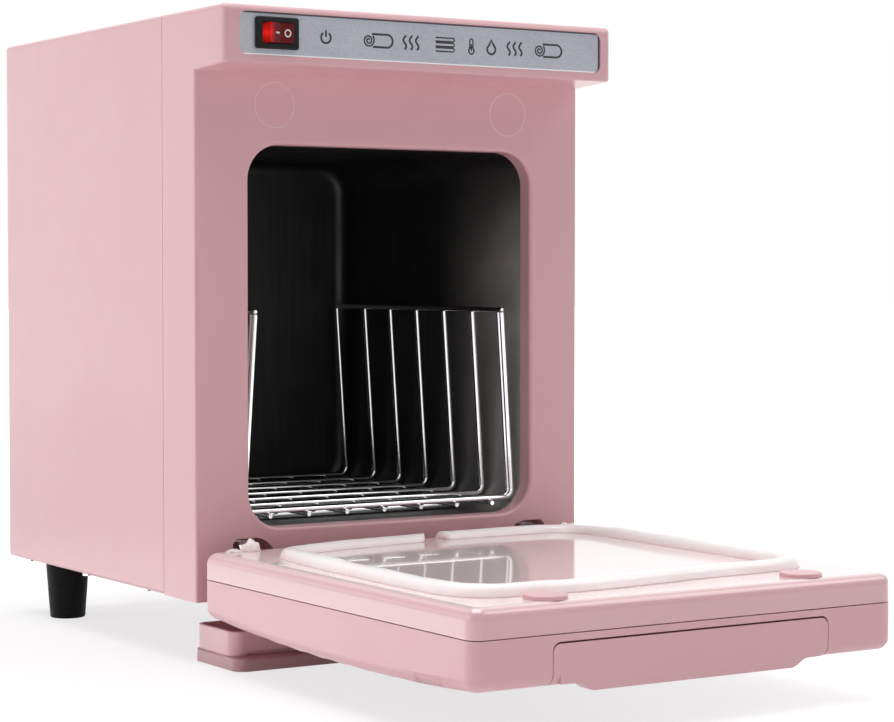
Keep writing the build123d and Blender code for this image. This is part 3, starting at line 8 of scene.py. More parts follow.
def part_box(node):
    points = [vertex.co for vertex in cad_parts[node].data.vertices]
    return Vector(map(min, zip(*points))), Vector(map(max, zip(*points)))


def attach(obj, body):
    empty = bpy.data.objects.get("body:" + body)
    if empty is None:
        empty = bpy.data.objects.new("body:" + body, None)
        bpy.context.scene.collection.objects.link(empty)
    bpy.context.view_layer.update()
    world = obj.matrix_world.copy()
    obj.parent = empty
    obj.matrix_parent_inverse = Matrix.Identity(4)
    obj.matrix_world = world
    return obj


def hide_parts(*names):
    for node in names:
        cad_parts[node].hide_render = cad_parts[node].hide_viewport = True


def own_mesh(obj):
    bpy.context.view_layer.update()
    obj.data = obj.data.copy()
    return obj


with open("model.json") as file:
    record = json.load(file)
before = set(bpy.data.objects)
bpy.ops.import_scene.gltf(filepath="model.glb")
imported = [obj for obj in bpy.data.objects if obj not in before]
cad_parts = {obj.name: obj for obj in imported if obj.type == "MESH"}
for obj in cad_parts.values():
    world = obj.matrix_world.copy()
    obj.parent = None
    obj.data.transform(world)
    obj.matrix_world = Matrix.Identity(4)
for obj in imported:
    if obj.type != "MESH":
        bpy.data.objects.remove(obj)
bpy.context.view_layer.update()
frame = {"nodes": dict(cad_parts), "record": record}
nodes = frame["nodes"]
scene = bpy.context.scene
MM = 0.001
DOOR_FACE = 62.0  # height of the open door's inner face, in mm


# ---------------------------------------------------------------------------------
# Materials: noise scales are in cells per metre, and relief is in metres
# ---------------------------------------------------------------------------------
class Shader:
    """A Principled material with a few shorthands for its node tree."""

    def __init__(self, name):
        self.mat = bpy.data.materials.new(name)
        self.mat.use_nodes = True
        self.tree = self.mat.node_tree
        self.bsdf = self.tree.nodes["Principled BSDF"]
        self.coord = self.tree.nodes.new("ShaderNodeTexCoord").outputs["Object"]
        self.normal = None

    def node(self, kind, **values):
        """A new node; each value sets the input of that name, or else the node's own setting."""
        n = self.tree.nodes.new(kind)
        for key, value in values.items():
            if key in n.inputs:
                n.inputs[key].default_value = value
            else:
                setattr(n, key, value)
        return n

    def link(self, a, b):
        self.tree.links.new(a, b)

    def set(self, **values):
        for key, value in values.items():
            self.bsdf.inputs[key.replace("_", " ")].default_value = value

    def noise(self, scale, detail=3.0, rough=0.5, stretch=None):
        """Noise in object space, drawn out along the axes where stretch is small."""
        n = self.node("ShaderNodeTexNoise", Scale=scale, Detail=detail, Roughness=rough)
        source = self.coord
        if stretch:
            mapping = self.node("ShaderNodeMapping")
            mapping.inputs["Scale"].default_value = stretch
            self.link(self.coord, mapping.inputs["Vector"])
            source = mapping.outputs["Vector"]
        self.link(source, n.inputs["Vector"])
        return n.outputs["Fac"]

    def spread(self, value, low, high, inlow=0.3, inhigh=0.7):
        """Maps inlow..inhigh onto low..high, clamped."""
        r = self.node("ShaderNodeMapRange")
        r.inputs["From Min"].default_value = inlow
        r.inputs["From Max"].default_value = inhigh
        r.inputs["To Min"].default_value = low
        r.inputs["To Max"].default_value = high
        self.link(value, r.inputs["Value"])
        return r.outputs["Result"]

    def mix(self, fac, a, b):
        m = self.node("ShaderNodeMix", data_type="RGBA")
        for socket, value in ((m.inputs[6], a), (m.inputs[7], b)):
            if isinstance(value, bpy.types.NodeSocket):
                self.link(value, socket)
            else:
                socket.default_value = (*value[:3], 1.0)
        if isinstance(fac, bpy.types.NodeSocket):
            self.link(fac, m.inputs[0])
        else:
            m.inputs[0].default_value = fac
        return m.outputs[2]

    def axis(self, name):
        s = self.node("ShaderNodeSeparateXYZ")
        self.link(self.coord, s.inputs[0])
        return s.outputs[name]

    def math(self, op, a, b=0.0):
        m = self.node("ShaderNodeMath", operation=op)
        for i, value in enumerate((a, b)):
            if isinstance(value, bpy.types.NodeSocket):
                self.link(value, m.inputs[i])
            else:
                m.inputs[i].default_value = value
        return m.outputs[0]

    def bump(self, height, distance, strength=1.0):
        """Adds a layer of relief over the ones already there; distance is in metres."""
        b = self.node("ShaderNodeBump", Strength=strength, Distance=distance)
        self.link(height, b.inputs["Height"])
        if self.normal:
            self.link(self.normal, b.inputs["Normal"])
        self.normal = b.outputs["Normal"]
        self.link(self.normal, self.bsdf.inputs["Normal"])

    def color(self, socket):
        self.link(socket, self.bsdf.inputs["Base Color"])

    def rough(self, socket):
        self.link(socket, self.bsdf.inputs["Roughness"])


def moulded(name, base, deep, rough, grain_scale, grain, coat=0.0, ripple=0.0, painted_sheen=None):
    """Painted or moulded pink surface: cloudy tone and a fine grain. Given a painted sheen colour, its
    upward faces turn to it where they are seen at a low angle: a painted reflection, as polished plastic
    shows."""
    s = Shader(name)
    cloud = s.spread(s.noise(9.0, 4.0), 0.0, 1.0)
    speck = s.spread(s.noise(1400.0, 2.0), 0.0, 0.10)
    tone = s.mix(cloud, base, deep)
    # painted reflection: upward faces seen at a low angle turn to the light sheen colour
    if painted_sheen:
        split = s.node("ShaderNodeSeparateXYZ")
        s.link(s.node("ShaderNodeNewGeometry").outputs["Normal"], split.inputs[0])
        upward = s.spread(split.outputs["Z"], 0.0, 1.0, 0.55, 0.98)
        facing = s.node("ShaderNodeLayerWeight").outputs["Facing"]
        tone = s.mix(s.math("MULTIPLY", upward, s.spread(facing, 0.35, 1.0, 0.35, 0.80)), tone, painted_sheen)
    s.color(s.mix(speck, tone, tuple(min(1.0, c * 1.12) for c in base)))
    s.rough(s.spread(s.noise(60.0, 4.0), rough * 0.9, rough * 1.12))
    if ripple:
        s.bump(s.noise(34.0, 2.0), ripple)
    s.bump(s.noise(grain_scale, 2.0, 0.6), grain)
    s.set(Coat_Weight=coat, Coat_Roughness=0.02 if ripple else 0.12, Specular_IOR_Level=0.5)
    return s.mat


def metal(name, base, rough, brush=None, grime=0.12):
    """Bare metal: tone and roughness vary, with brushing along one axis if asked for."""
    s = Shader(name)
    s.set(Metallic=1.0)
    fleck = s.noise(300.0, 3.0, 0.6, brush)
    tone = s.mix(s.spread(fleck, 0.0, 1.0), base, tuple(c * (1 - grime) for c in base))
    stain = s.spread(s.noise(22.0, 5.0), 0.0, 0.35, 0.45, 0.8)
    s.color(s.mix(stain, tone, tuple(c * 0.75 for c in base)))
    s.rough(s.spread(s.noise(90.0, 4.0), rough * 0.75, rough * 1.3))
    s.bump(fleck, 0.00001 if brush else 0.00002, 0.6)
    return s.mat


def soft(name, base, rough, scale, depth, sheen=0.0, shine=0.5):
    """Rubber, fibre or ceramic: matt with a fine irregular surface."""
    s = Shader(name)
    tone = s.mix(s.spread(s.noise(scale * 0.12, 4.0), 0.0, 1.0), base, tuple(c * 0.72 for c in base))
    s.color(tone)
    s.rough(s.spread(s.noise(scale * 0.2, 3.0), rough * 0.8, min(1.0, rough * 1.2)))
    s.bump(s.noise(scale, 3.0, 0.65), depth)
    s.set(Sheen_Weight=sheen, Specular_IOR_Level=shine)
    return s.mat


PINK = (0.74, 0.435, 0.468)
PINK_DEEP = (0.715, 0.412, 0.446)
# light pink painted on upward glossy faces seen at a low angle: a painted reflection
PINK_PAINTED_SHEEN = (0.97, 0.83, 0.84)
# painted shade: the stand's pink, darkened for the shadow it lies in
STAND_SHADED_PINK = (0.52, 0.285, 0.315)
STAND_SHADED_DEEP = (0.48, 0.255, 0.285)
SEAL_FOOT = 4.2  # height above the door, in mm, over which the seal's foot turns from pink to milky


def silicone():
    """Milky translucent rubber; its thin foot is painted pink for the door showing through it, and a faint
    painted glow lifts the whole bead.
    """
    s = Shader("silicone")
    milky = s.mix(s.spread(s.noise(55.0, 4.0), 0.0, 1.0), (0.97, 0.925, 0.92), (0.92, 0.85, 0.85))
    foot = s.spread(s.axis("Z"), 1.0, 0.0, DOOR_FACE * MM, (DOOR_FACE + SEAL_FOOT) * MM)
    # painted: the door's pink seen through the thin foot, unevenly
    door_pink_through = s.math("MULTIPLY", foot, s.spread(s.noise(80.0, 3.0), 0.7, 1.0))
    s.color(s.mix(door_pink_through, milky, (0.84, 0.62, 0.64)))
    s.rough(s.spread(s.noise(160.0, 4.0), 0.30, 0.46))
    s.bump(s.noise(120.0, 3.0), 0.0003, 0.5)
    s.bump(s.noise(900.0, 3.0), 0.00003)
    s.set(Subsurface_Weight=0.55, Subsurface_Radius=(0.006, 0.0045, 0.0045), Subsurface_Scale=1.0)
    s.set(Transmission_Weight=0.06, IOR=1.41, Coat_Weight=0.5, Coat_Roughness=0.2)
    # a faint pinkish-white emission: a painted glow lifting the milky rubber
    s.set(Emission_Color=(1.0, 0.90, 0.90, 1.0), Emission_Strength=0.12)
    return s.mat


LINER_FRONT = (0.010, 0.100)  # from the front lip, where light is painted on, to the dark depth, in metres
LINER_TOP = (0.215, 0.272)
LINER_WALL = (0.070, 0.089)


def liner():
    """Dark satin sheet with faint drawing marks, near black inside; painted light makes it paler near
    the front lip, most where the side walls curve out to meet it."""
    s = Shader("dark_aluminium")
    s.set(Metallic=0.6, Specular_IOR_Level=0.3)
    fleck = s.noise(260.0, 3.0, 0.6, (1.0, 1.0, 0.06))
    tone = s.mix(s.spread(fleck, 0.0, 1.0), (0.050, 0.049, 0.049), (0.036, 0.035, 0.035))
    front = s.spread(s.axis("Y"), 1.0, 0.0, *LINER_FRONT)
    below_top = s.spread(s.axis("Z"), 1.0, 0.0, *LINER_TOP)
    walls = s.spread(s.math("ABSOLUTE", s.axis("X")), 0.15, 1.0, *LINER_WALL)
    # painted light: paler near the front lip, mostly on the side walls
    painted_lip_light = s.math("MULTIPLY", s.math("MULTIPLY", s.math("POWER", front, 1.3), below_top), walls)
    cloudy = s.spread(s.noise(30.0, 4.0), 0.75, 1.0)
    s.color(s.mix(s.math("MULTIPLY", painted_lip_light, cloudy), tone, (0.85, 0.84, 0.80)))
    s.rough(s.spread(s.noise(50.0, 4.0), 0.34, 0.50))
    s.bump(fleck, 0.00002, 0.5)
    return s.mat


# widths of the label's painted shadow and highlight lines along its edges, in metres
LABEL_LINE = 0.0007
LABEL_SIDE = 0.0011


def label_metal():
    """Speckled satin plate: a painted shadow line inside its top and right edges, a painted highlight line
    below.
    """
    s = Shader("label_metal")
    s.set(Metallic=0.35)
    lo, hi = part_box("control_label")
    grain = s.noise(1500.0, 3.0, 0.7)
    streak = s.noise(500.0, 3.0, 0.6, (0.06, 1.0, 1.0))
    mottle = s.math("ADD", s.math("MULTIPLY", grain, 0.8), s.math("MULTIPLY", streak, 0.2))
    tone = s.mix(s.spread(mottle, 0.0, 1.0, 0.38, 0.62), (0.46, 0.475, 0.525), (0.345, 0.36, 0.405))
    cloud = s.spread(s.noise(25.0, 3.0), 0.0, 0.35)
    tone = s.mix(cloud, tone, (0.50, 0.52, 0.57))
    # painted shadow along the top and right edges, painted highlight along the bottom
    dark = s.math("MAXIMUM", s.math("GREATER_THAN", s.axis("X"), hi.x - LABEL_SIDE),
                  s.math("GREATER_THAN", s.axis("Z"), hi.z - LABEL_LINE))
    bright = s.math("LESS_THAN", s.axis("Z"), lo.z + LABEL_LINE)
    lined = s.mix(dark, tone, (0.07, 0.07, 0.08))
    s.color(s.mix(bright, lined, (0.93, 0.93, 0.95)))
    s.rough(s.spread(grain, 0.36, 0.52))
    s.bump(grain, 0.00001, 0.5)
    return s.mat


GLOW_FROM, GLOW_TO = 0.0006, 0.0068  # the glow fades across the rocker between these, in metres
GLOW_TALL = 0.0052
GLOW_POWER = 0.85


def rocker_lens():
    """Deep red translucent moulding with a soft glow from the lamp at its proud end."""
    s = Shader("red_lens")
    lo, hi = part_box("switch_rocker")
    across = s.spread(s.axis("X"), 1.0, 0.0, lo.x + GLOW_FROM, lo.x + GLOW_TO)
    tall = s.math("ABSOLUTE", s.math("SUBTRACT", s.axis("Z"), (lo.z + hi.z) / 2))
    middle = s.spread(tall, 1.0, 0.15, 0.0, GLOW_TALL)
    glow = s.math("MULTIPLY", s.math("POWER", across, 1.8), middle)
    flicker = s.spread(s.noise(900.0, 3.0), 0.55, 1.25)
    s.color(s.mix(across, (0.13, 0.002, 0.004), (0.42, 0.008, 0.008)))
    s.set(Emission_Color=(1.0, 0.02, 0.012, 1.0), Coat_Weight=0.1, Specular_IOR_Level=0.12)
    strength = s.math("MULTIPLY", s.math("MULTIPLY", glow, flicker), GLOW_POWER)
    s.link(strength, s.bsdf.inputs["Emission Strength"])
    s.rough(s.spread(s.noise(200.0, 3.0), 0.14, 0.26))
    s.bump(s.noise(900.0, 2.0), 0.00002)
    return s.mat


def ink_and_highlight(name, base, rough=0.5):
    """Printed ink, a little uneven in tone; also a painted highlight."""
    s = Shader(name)
    s.color(s.mix(s.spread(s.noise(900.0, 3.0), 0.0, 1.0), base, tuple(c * 0.8 + 0.01 for c in base)))
    s.rough(s.spread(s.noise(400.0, 3.0), rough * 0.8, rough * 1.2))
    s.bump(s.noise(1500.0, 2.0), 0.00001)
    return s.mat


def lamp_glass():
    """Clear glass envelope, glowing orange."""
    s = Shader("lamp_glass")
    s.color(s.mix(s.spread(s.noise(500.0), 0.0, 1.0), (1.0, 0.5, 0.3), (1.0, 0.7, 0.5)))
    s.set(Transmission_Weight=0.9, Roughness=0.08)
    s.set(Emission_Color=(1.0, 0.3, 0.1, 1.0), Emission_Strength=1.5)
    return s.mat


materials = {
    "pink_paint": moulded("pink_paint", PINK, PINK_DEEP, 0.34, 620.0, 0.000008, coat=0.18),
    "pink_plastic": moulded("pink_plastic", PINK, PINK_DEEP, 0.34, 900.0, 0.000006, coat=0.15),
    "pink_gloss": moulded(
        "pink_gloss", PINK, PINK_DEEP, 0.12, 500.0, 0.000001, coat=0.65, ripple=0.00002, painted_sheen=PINK_PAINTED_SHEEN
    ),
    "dark_aluminium": liner(),
    "bare_aluminium": metal("bare_aluminium", (0.80, 0.80, 0.82), 0.38, (1.0, 0.05, 1.0)),
    "plated_steel": metal("plated_steel", (0.66, 0.66, 0.68), 0.20),
    "chrome_wire": metal("chrome_wire", (0.82, 0.82, 0.84), 0.09, grime=0.05),
    "label_metal": label_metal(),
    "black_plastic": soft("black_plastic", (0.004, 0.004, 0.005), 0.22, 900.0, 0.00001, shine=0.22),
    "red_lens": rocker_lens(),
    "lamp_glass": lamp_glass(),
    "brass": metal("brass", (0.78, 0.58, 0.25), 0.20, (1.0, 1.0, 0.1)),
    "magnet": metal("magnet", (0.20, 0.20, 0.21), 0.55),
    "silicone": silicone(),
    "glass_wool": soft("glass_wool", (0.86, 0.80, 0.58), 0.95, 500.0, 0.0008, sheen=0.4),
    "ceramic": soft("ceramic", (0.86, 0.83, 0.76), 0.55, 700.0, 0.00003),
    "black_rubber": soft("black_rubber", (0.003, 0.003, 0.003), 0.55, 800.0, 0.00003, shine=0.1),
    "wire_insulation": soft("wire_insulation", (0.75, 0.75, 0.70), 0.45, 700.0, 0.00002),
}
for sub in frame["record"]["subparts"]:
    node = nodes[sub["node"]]
    node.data.materials.clear()
    node.data.materials.append(materials[sub["material_slot"]])
# the stand is given a darker, greyer pink: painted shade for the shadow it lies in under the tray
nodes["front_stand"].data.materials[0] = moulded("stand_shaded_pink", STAND_SHADED_PINK, STAND_SHADED_DEEP, 0.36, 900.0, 0.000006)
white_ink = ink_and_highlight("white_ink", (0.85, 0.85, 0.85))
black_ink = ink_and_highlight("black_ink", (0.012, 0.012, 0.014))
# painted highlight for the hairline round each magnet cover
ring_painted_highlight = ink_and_highlight("ring_painted_highlight", (1.0, 0.80, 0.82), 0.35)


# ---------------------------------------------------------------------------------
# Mesh helpers
# ---------------------------------------------------------------------------------
def new_piece(name, bm, mat, body):
    """Turns a bmesh into a smooth-shaded piece that rides on a body."""
    mesh = bpy.data.meshes.new(name)
    bmesh.ops.recalc_face_normals(bm, faces=bm.faces)
    bm.to_mesh(mesh)
    bm.free()
    for poly in mesh.polygons:
        poly.use_smooth = True
    obj = bpy.data.objects.new(name, mesh)
    scene.collection.objects.link(obj)
    mesh.materials.append(mat)
    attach(obj, body)
    return obj


def spline(points, step):
    """Catmull-Rom curve through 2-D points, resampled at about one point per step."""
    pts = [Vector(p) for p in points]
    pts = [pts[0] * 2 - pts[1]] + pts + [pts[-1] * 2 - pts[-2]]
    out = []
    for a, b, c, d in zip(pts, pts[1:], pts[2:], pts[3:]):
        count = max(2, int((c - b).length / step))
        for i in range(count):
            t = i / count
            square = (2 * a - 5 * b + 4 * c - d) * t * t
            cube = (3 * b - a - 3 * c + d) * t**3
            out.append(0.5 * (2 * b + (c - a) * t + square + cube))
    out.append(pts[-2])
    return out


def sweep_bead(bm, path, section, base_z, lean_start=0.0, lean_end=0.0):
    """Sweeps a closed section along a flat path; section(p) gives (across, up) points in mm, and
    lean_start and lean_end slant the two end faces."""
    rings = []
    count = len(path)
    for i, p in enumerate(path):
        ahead = path[min(i + 1, count - 1)] - path[max(i - 1, 0)]
        side = Vector((ahead.y, -ahead.x)).normalized()
        forward = ahead.normalized()
        ring = []
        for u, v in section(p):
            shift = 0.0
            if i == 0:
                shift = lean_start * u
            elif i == count - 1:
                shift = lean_end * u
            q = p + side * u + forward * shift
            ring.append(bm.verts.new((q.x * MM, q.y * MM, base_z * MM + v * MM)))
        rings.append(ring)
    for a, b in zip(rings, rings[1:]):
        for k in range(len(a)):
            bm.faces.new((a[k - 1], a[k], b[k], b[k - 1]))
    bm.faces.new(rings[0])
    bm.faces.new(list(reversed(rings[-1])))


INK_ROOT = 0.02  # how far a stroke's underside lies below the surface it is printed on


def ribbon(bm, points, width, depth, place, closed=False):
    """A flat stroke of constant width through 2-D points, standing depth proud of its surface;
    place(x, y, height) turns each corner into a 3-D point."""
    pts = [Vector(p) for p in points]
    count = len(pts)
    rows = []
    for i, p in enumerate(pts):
        before = pts[i - 1] if i or closed else pts[0]
        after = pts[(i + 1) % count] if i < count - 1 or closed else pts[-1]
        along = (after - before).normalized()
        side = Vector((-along.y, along.x)) * width / 2
        edges = (p + side, p - side)
        rows.append([bm.verts.new(place(q.x, q.y, h)) for q in edges for h in (depth, -INK_ROOT)])
    pairs = list(zip(rows, rows[1:]))
    if closed:
        pairs.append((rows[-1], rows[0]))
    for a, b in pairs:
        bm.faces.new((a[0], a[2], b[2], b[0]))
        bm.faces.new((a[0], b[0], b[1], a[1]))
        bm.faces.new((a[2], a[3], b[3], b[2]))
        bm.faces.new((a[1], b[1], b[3], a[3]))
    if not closed:
        for row in (rows[0], rows[-1]):
            bm.faces.new((row[0], row[1], row[3], row[2]))


def arc(cx, cy, r, start, end, count=24):
    """Points along an arc, with its angles in degrees."""
    angles = [math.radians(start + (end - start) * i / count) for i in range(count + 1)]
    return [(cx + r * math.cos(a), cy + r * math.sin(a)) for a in angles]


# ---------------------------------------------------------------------------------
# Door seal: a soft silicone bead laid round the door, a little uneven
# ---------------------------------------------------------------------------------
# the bead's middle line, from its cut end right of the hinge side's middle round to the other end
seal_points = [
    (15.5, -24.6), (40, -23.6), (66, -23.4), (84, -25.5), (96, -31.5), (103, -43), (105, -60), (103.5, -84),
    (102.5, -120), (102, -165), (101, -200), (98, -217), (88, -227.5), (68, -231), (40, -232), (15, -234.5),
    (-12, -238), (-40, -240.5), (-58, -240.5), (-76, -239.0), (-90, -238), (-100, -231), (-104.5, -216),
    (-105.3, -190), (-104.5, -150), (-103.5, -120), (-101.3, -85), (-98.6, -62), (-93.8, -50), (-84, -43),
    (-69, -38.5), (-48, -34.0), (-20, -29.5), (2.5, -26.5),
]
SEAL_STEP = 3.0
SEAL_W = 4.4
SEAL_H = 5.9
WOBBLE, RIPPLE = 0.035, 0.13  # turns per mm of the slow and the fine unevenness
HINGE_DROP = 1.6  # the bead is lower along the hinge side,
HINGE_RUN = -62  # from here on,
HINGE_EASE = 7.0  # easing in over about this length
FULL_CORNER = Vector((105, -52))
FULL_REACH = 26.0
SEAL_SHAPE = [
    (-1.24, 0.0), (-1.18, 0.10), (-1.02, 0.26), (-0.90, 0.50), (-0.68, 0.78), (-0.36, 0.95), (0.0, 1.0),
    (0.36, 0.95), (0.68, 0.78), (0.90, 0.50), (1.02, 0.26), (1.18, 0.10), (1.24, 0.0), (0.0, 0.0),
]


def seal_section(p):
    """D-shaped bead with a pinched foot; fuller at the right-hand hinge corner."""
    bulge = math.exp(-(p - FULL_CORNER).length_squared / (2 * FULL_REACH**2))
    wob = noise.noise(Vector((p.x * WOBBLE, p.y * WOBBLE, 3.1)))
    fine = noise.noise(Vector((p.x * RIPPLE, p.y * RIPPLE, 8.7)))
    hinge_side = 1.0 / (1.0 + math.exp(-(p.y - HINGE_RUN) / HINGE_EASE))
    w = SEAL_W + 0.45 * wob + 0.15 * fine + 0.5 * bulge
    h = SEAL_H + 0.45 * wob + 0.2 * fine - HINGE_DROP * hinge_side
    lean = 0.5 * wob
    return [(u * w + lean * v, v * h) for u, v in SEAL_SHAPE]


bm = bmesh.new()
sweep_bead(bm, spline(seal_points, SEAL_STEP), seal_section, DOOR_FACE, lean_start=0.25, lean_end=-0.7)
seal = new_piece("seal_bead", bm, materials["silicone"], "door")
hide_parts("door_seal")


# ---------------------------------------------------------------------------------
# Silicone lumps beside the hinges
# ---------------------------------------------------------------------------------
LUMP_CUT = 0.12  # the part of a lump's radius that is cut off flat against the door


def lump(bm, x, y, r, h, seed, stretch=1.0):
    """A blob of radius r and height h that sits flat on the door, roughened by two scales of noise."""
    start = len(bm.verts)
    bmesh.ops.create_icosphere(bm, subdivisions=4, radius=1.0)
    bm.verts.ensure_lookup_table()
    for v in bm.verts[start:]:
        d = v.co.normalized()
        coarse = noise.noise(d * 1.7 + Vector((seed, 0, 0))) * 0.22
        fine = noise.noise(d * 4.3 + Vector((0, seed, 0))) * 0.12
        q = d * (1 + (coarse + fine))
        up = max(0.0, max(q.z, -LUMP_CUT) + LUMP_CUT) * h / (1 + LUMP_CUT)
        v.co = ((x + q.x * r * stretch) * MM, (y + q.y * r) * MM, (DOOR_FACE + up) * MM)


bm = bmesh.new()
lump(bm, -99.8, -19.8, 3.9, 6.2, 1.3, 1.1)
lump(bm, -103.0, -18.4, 2.4, 3.6, 4.1)
lump(bm, -110.2, -19.6, 3.8, 1.7, 7.9, 1.1)
lump(bm, 101.5, -18.6, 2.9, 4.0, 2.6, 1.1)
lump(bm, 106.6, -18.2, 2.7, 3.4, 9.4)
lumps = new_piece("hinge_lumps", bm, materials["silicone"], "door")
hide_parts("hinge_buffers")
# each piece gets a mesh of its own; the share of its height it would keep when the shut door presses it flat
# is listed, but not applied
for piece, keep in ((seal, 0.62), (lumps, 0.3)):
    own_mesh(piece)


# ---------------------------------------------------------------------------------
# Pictograms on the label and marks on the rocker
# ---------------------------------------------------------------------------------
label_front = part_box("control_label")[0].y


def on_label(x, z, h):
    """A point h proud of the label's front, in metres."""
    return (x * MM, label_front - h * MM, z * MM)


ICON_Z = 331.6
POWER_X = -62
INK_H = 0.06
STROKE = 1.15
THIN_STROKE = 0.8
bm = bmesh.new()
ribbon(bm, arc(POWER_X, ICON_Z, 2.9, 125, 415), STROKE, INK_H, on_label)
ribbon(bm, [(POWER_X, ICON_Z + 0.4), (POWER_X, ICON_Z + 3.8)], STROKE, INK_H, on_label)
new_piece("label_power_mark", bm, black_ink, "cabinet")


def rolled_towel(bm, x, z):
    """A spiral end and the side of the roll."""
    steps, turn = 38, 0.35
    coil = []
    for k in range(steps + 1):
        r = 0.4 + 3.2 * k / steps
        coil.append((x + r * math.cos(k * turn), z + r * math.sin(k * turn)))
    ribbon(bm, coil, 0.9, INK_H, on_label)
    half, length = 3.4, 11.5
    side = [(x + 2.2, z + half), (x + length, z + half)] + arc(x + length, z, half, 90, -90, 14)
    ribbon(bm, side + [(x + 2.6, z - half)], STROKE, INK_H, on_label)


def steam(bm, x, z):
    """Three upright waves."""
    pitch, sway, tall, steps = 3.9, 0.9, 7.6, 16
    for k in range(3):
        left, low = x + k * pitch, z - tall / 2
        wave = [(left + sway * math.sin(t * 0.45), low + tall * t / steps) for t in range(steps + 1)]
        ribbon(bm, wave, STROKE, INK_H, on_label)


def folded_towel(bm, x, z):
    """Three layers, each a flat loop open at the left."""
    pitch, half, length = 2.7, 0.95, 11.0
    for k in range(3):
        layer = z - pitch + pitch * k
        loop = [(x, layer - half), (x + length, layer - half)] + arc(x + length, layer, half, -90, 90, 8)
        ribbon(bm, loop + [(x, layer + half)], THIN_STROKE, INK_H, on_label)


def droplet(bm, x, z):
    """A pointed drop in outline."""
    left = [(x, z + 4.0), (x - 1.1, z + 1.8), (x - 2.3, z)] + arc(x, z - 1.0, 2.7, 160, 380, 20)
    ribbon(bm, left + [(x + 1.1, z + 1.8)], STROKE, INK_H, on_label, closed=True)


def gauge(bm, x, z):
    """A thermometer: bulb, tube and the column inside it."""
    ribbon(bm, arc(x, z - 2.5, 1.7, 60, 480, 24)[:-4], 0.9, INK_H, on_label)
    tube = [(x - 1.0, z - 1.0), (x - 1.0, z + 2.9)] + arc(x, z + 2.9, 1.0, 180, 0, 8)
    ribbon(bm, tube + [(x + 1.0, z - 1.0)], THIN_STROKE, INK_H, on_label)
    ribbon(bm, [(x, z - 2.6), (x, z + 1.2)], THIN_STROKE, INK_H, on_label)


bm = bmesh.new()
rolled_towel(bm, -36.0, ICON_Z)
steam(bm, -13.5, ICON_Z)
folded_towel(bm, 6.0, ICON_Z)
gauge(bm, 29.0, ICON_Z)
droplet(bm, 42.0, ICON_Z)
steam(bm, 53.5, ICON_Z)
rolled_towel(bm, 74.0, ICON_Z)
new_piece("label_pictograms", bm, black_ink, "cabinet")

# a light pink ribbon in the gap round each magnet cover: a painted highlight where the hairline catches the
# light
bm = bmesh.new()
cover_lo, cover_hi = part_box("frame_magnet_covers")
COVER_R = 11.75
RING_R = COVER_R + 0.23  # the middle of the gap round the cover
RING_W = 0.42
RING_H = 0.08
FACE_SKIN = 0.05  # how far behind the front face the hairline is measured from
ring_x = cover_hi.x / MM - COVER_R
ring_z = (cover_lo.z + cover_hi.z) / 2 / MM


def on_face(x, z, h):
    """A point on the cabinet's front face, in metres."""
    return (x * MM, (FACE_SKIN - h) * MM, z * MM)


for side in (-1, 1):
    circle = arc(side * ring_x, ring_z, RING_R, 0, 360, 96)[:-1]
    ribbon(bm, circle, RING_W, RING_H, on_face, closed=True)
new_piece("magnet_cover_highlight_rings", bm, ring_painted_highlight, "cabinet")

# the rocker's on and off marks; its pivot is where the switch's joint is, in mm
TILT = math.radians(11.0)  # the rocker rests tilted by this much, pressed in on its right
PIVOT = Vector((-91.5, -31.1))
ROCKER_Z = 332.3
HALF = Vector((3.85, -5.8))  # the middle of half the rocker's face, from its pivot
FACE_ANGLE = math.atan2(1.2, 7.7)  # each half slopes in towards the middle
MARK_H = 0.05


def on_rocker(side):
    """Places marks on the left (-1) or right (1) half of the rocker's dished face."""
    slope = TILT - side * FACE_ANGLE
    centre = Vector((side * HALF.x, HALF.y))
    centre.rotate(Matrix.Rotation(TILT, 2))
    along = Vector((math.cos(slope), math.sin(slope)))
    out = Vector((math.sin(slope), -math.cos(slope)))

    def place(u, v, h):
        q = PIVOT + centre + along * u + out * h
        return (q.x * MM, q.y * MM, (ROCKER_Z + v) * MM)

    return place


bm = bmesh.new()
ribbon(bm, [(0.2, 0.0), (2.8, 0.0)], 0.95, MARK_H, on_rocker(-1))
ribbon(bm, arc(0.3, 0.0, 1.7, 0, 360, 28)[:-1], 0.75, MARK_H, on_rocker(1), closed=True)
new_piece("rocker_marks", bm, white_ink, "rocker")


# ---------------------------------------------------------------------------------
# Floor, lights and camera
# ---------------------------------------------------------------------------------
FLOOR_SHADE = 0.32  # its grey,
FLOOR_GLOW = 0.66  # its glow where it is seen or mirrored,
FLOOR_MIRROR = 1.5  # and the extra glow of its mirror image beside the cabinet
FLOOR_REACH = 12.0
FLOOR_GAP = 0.0002


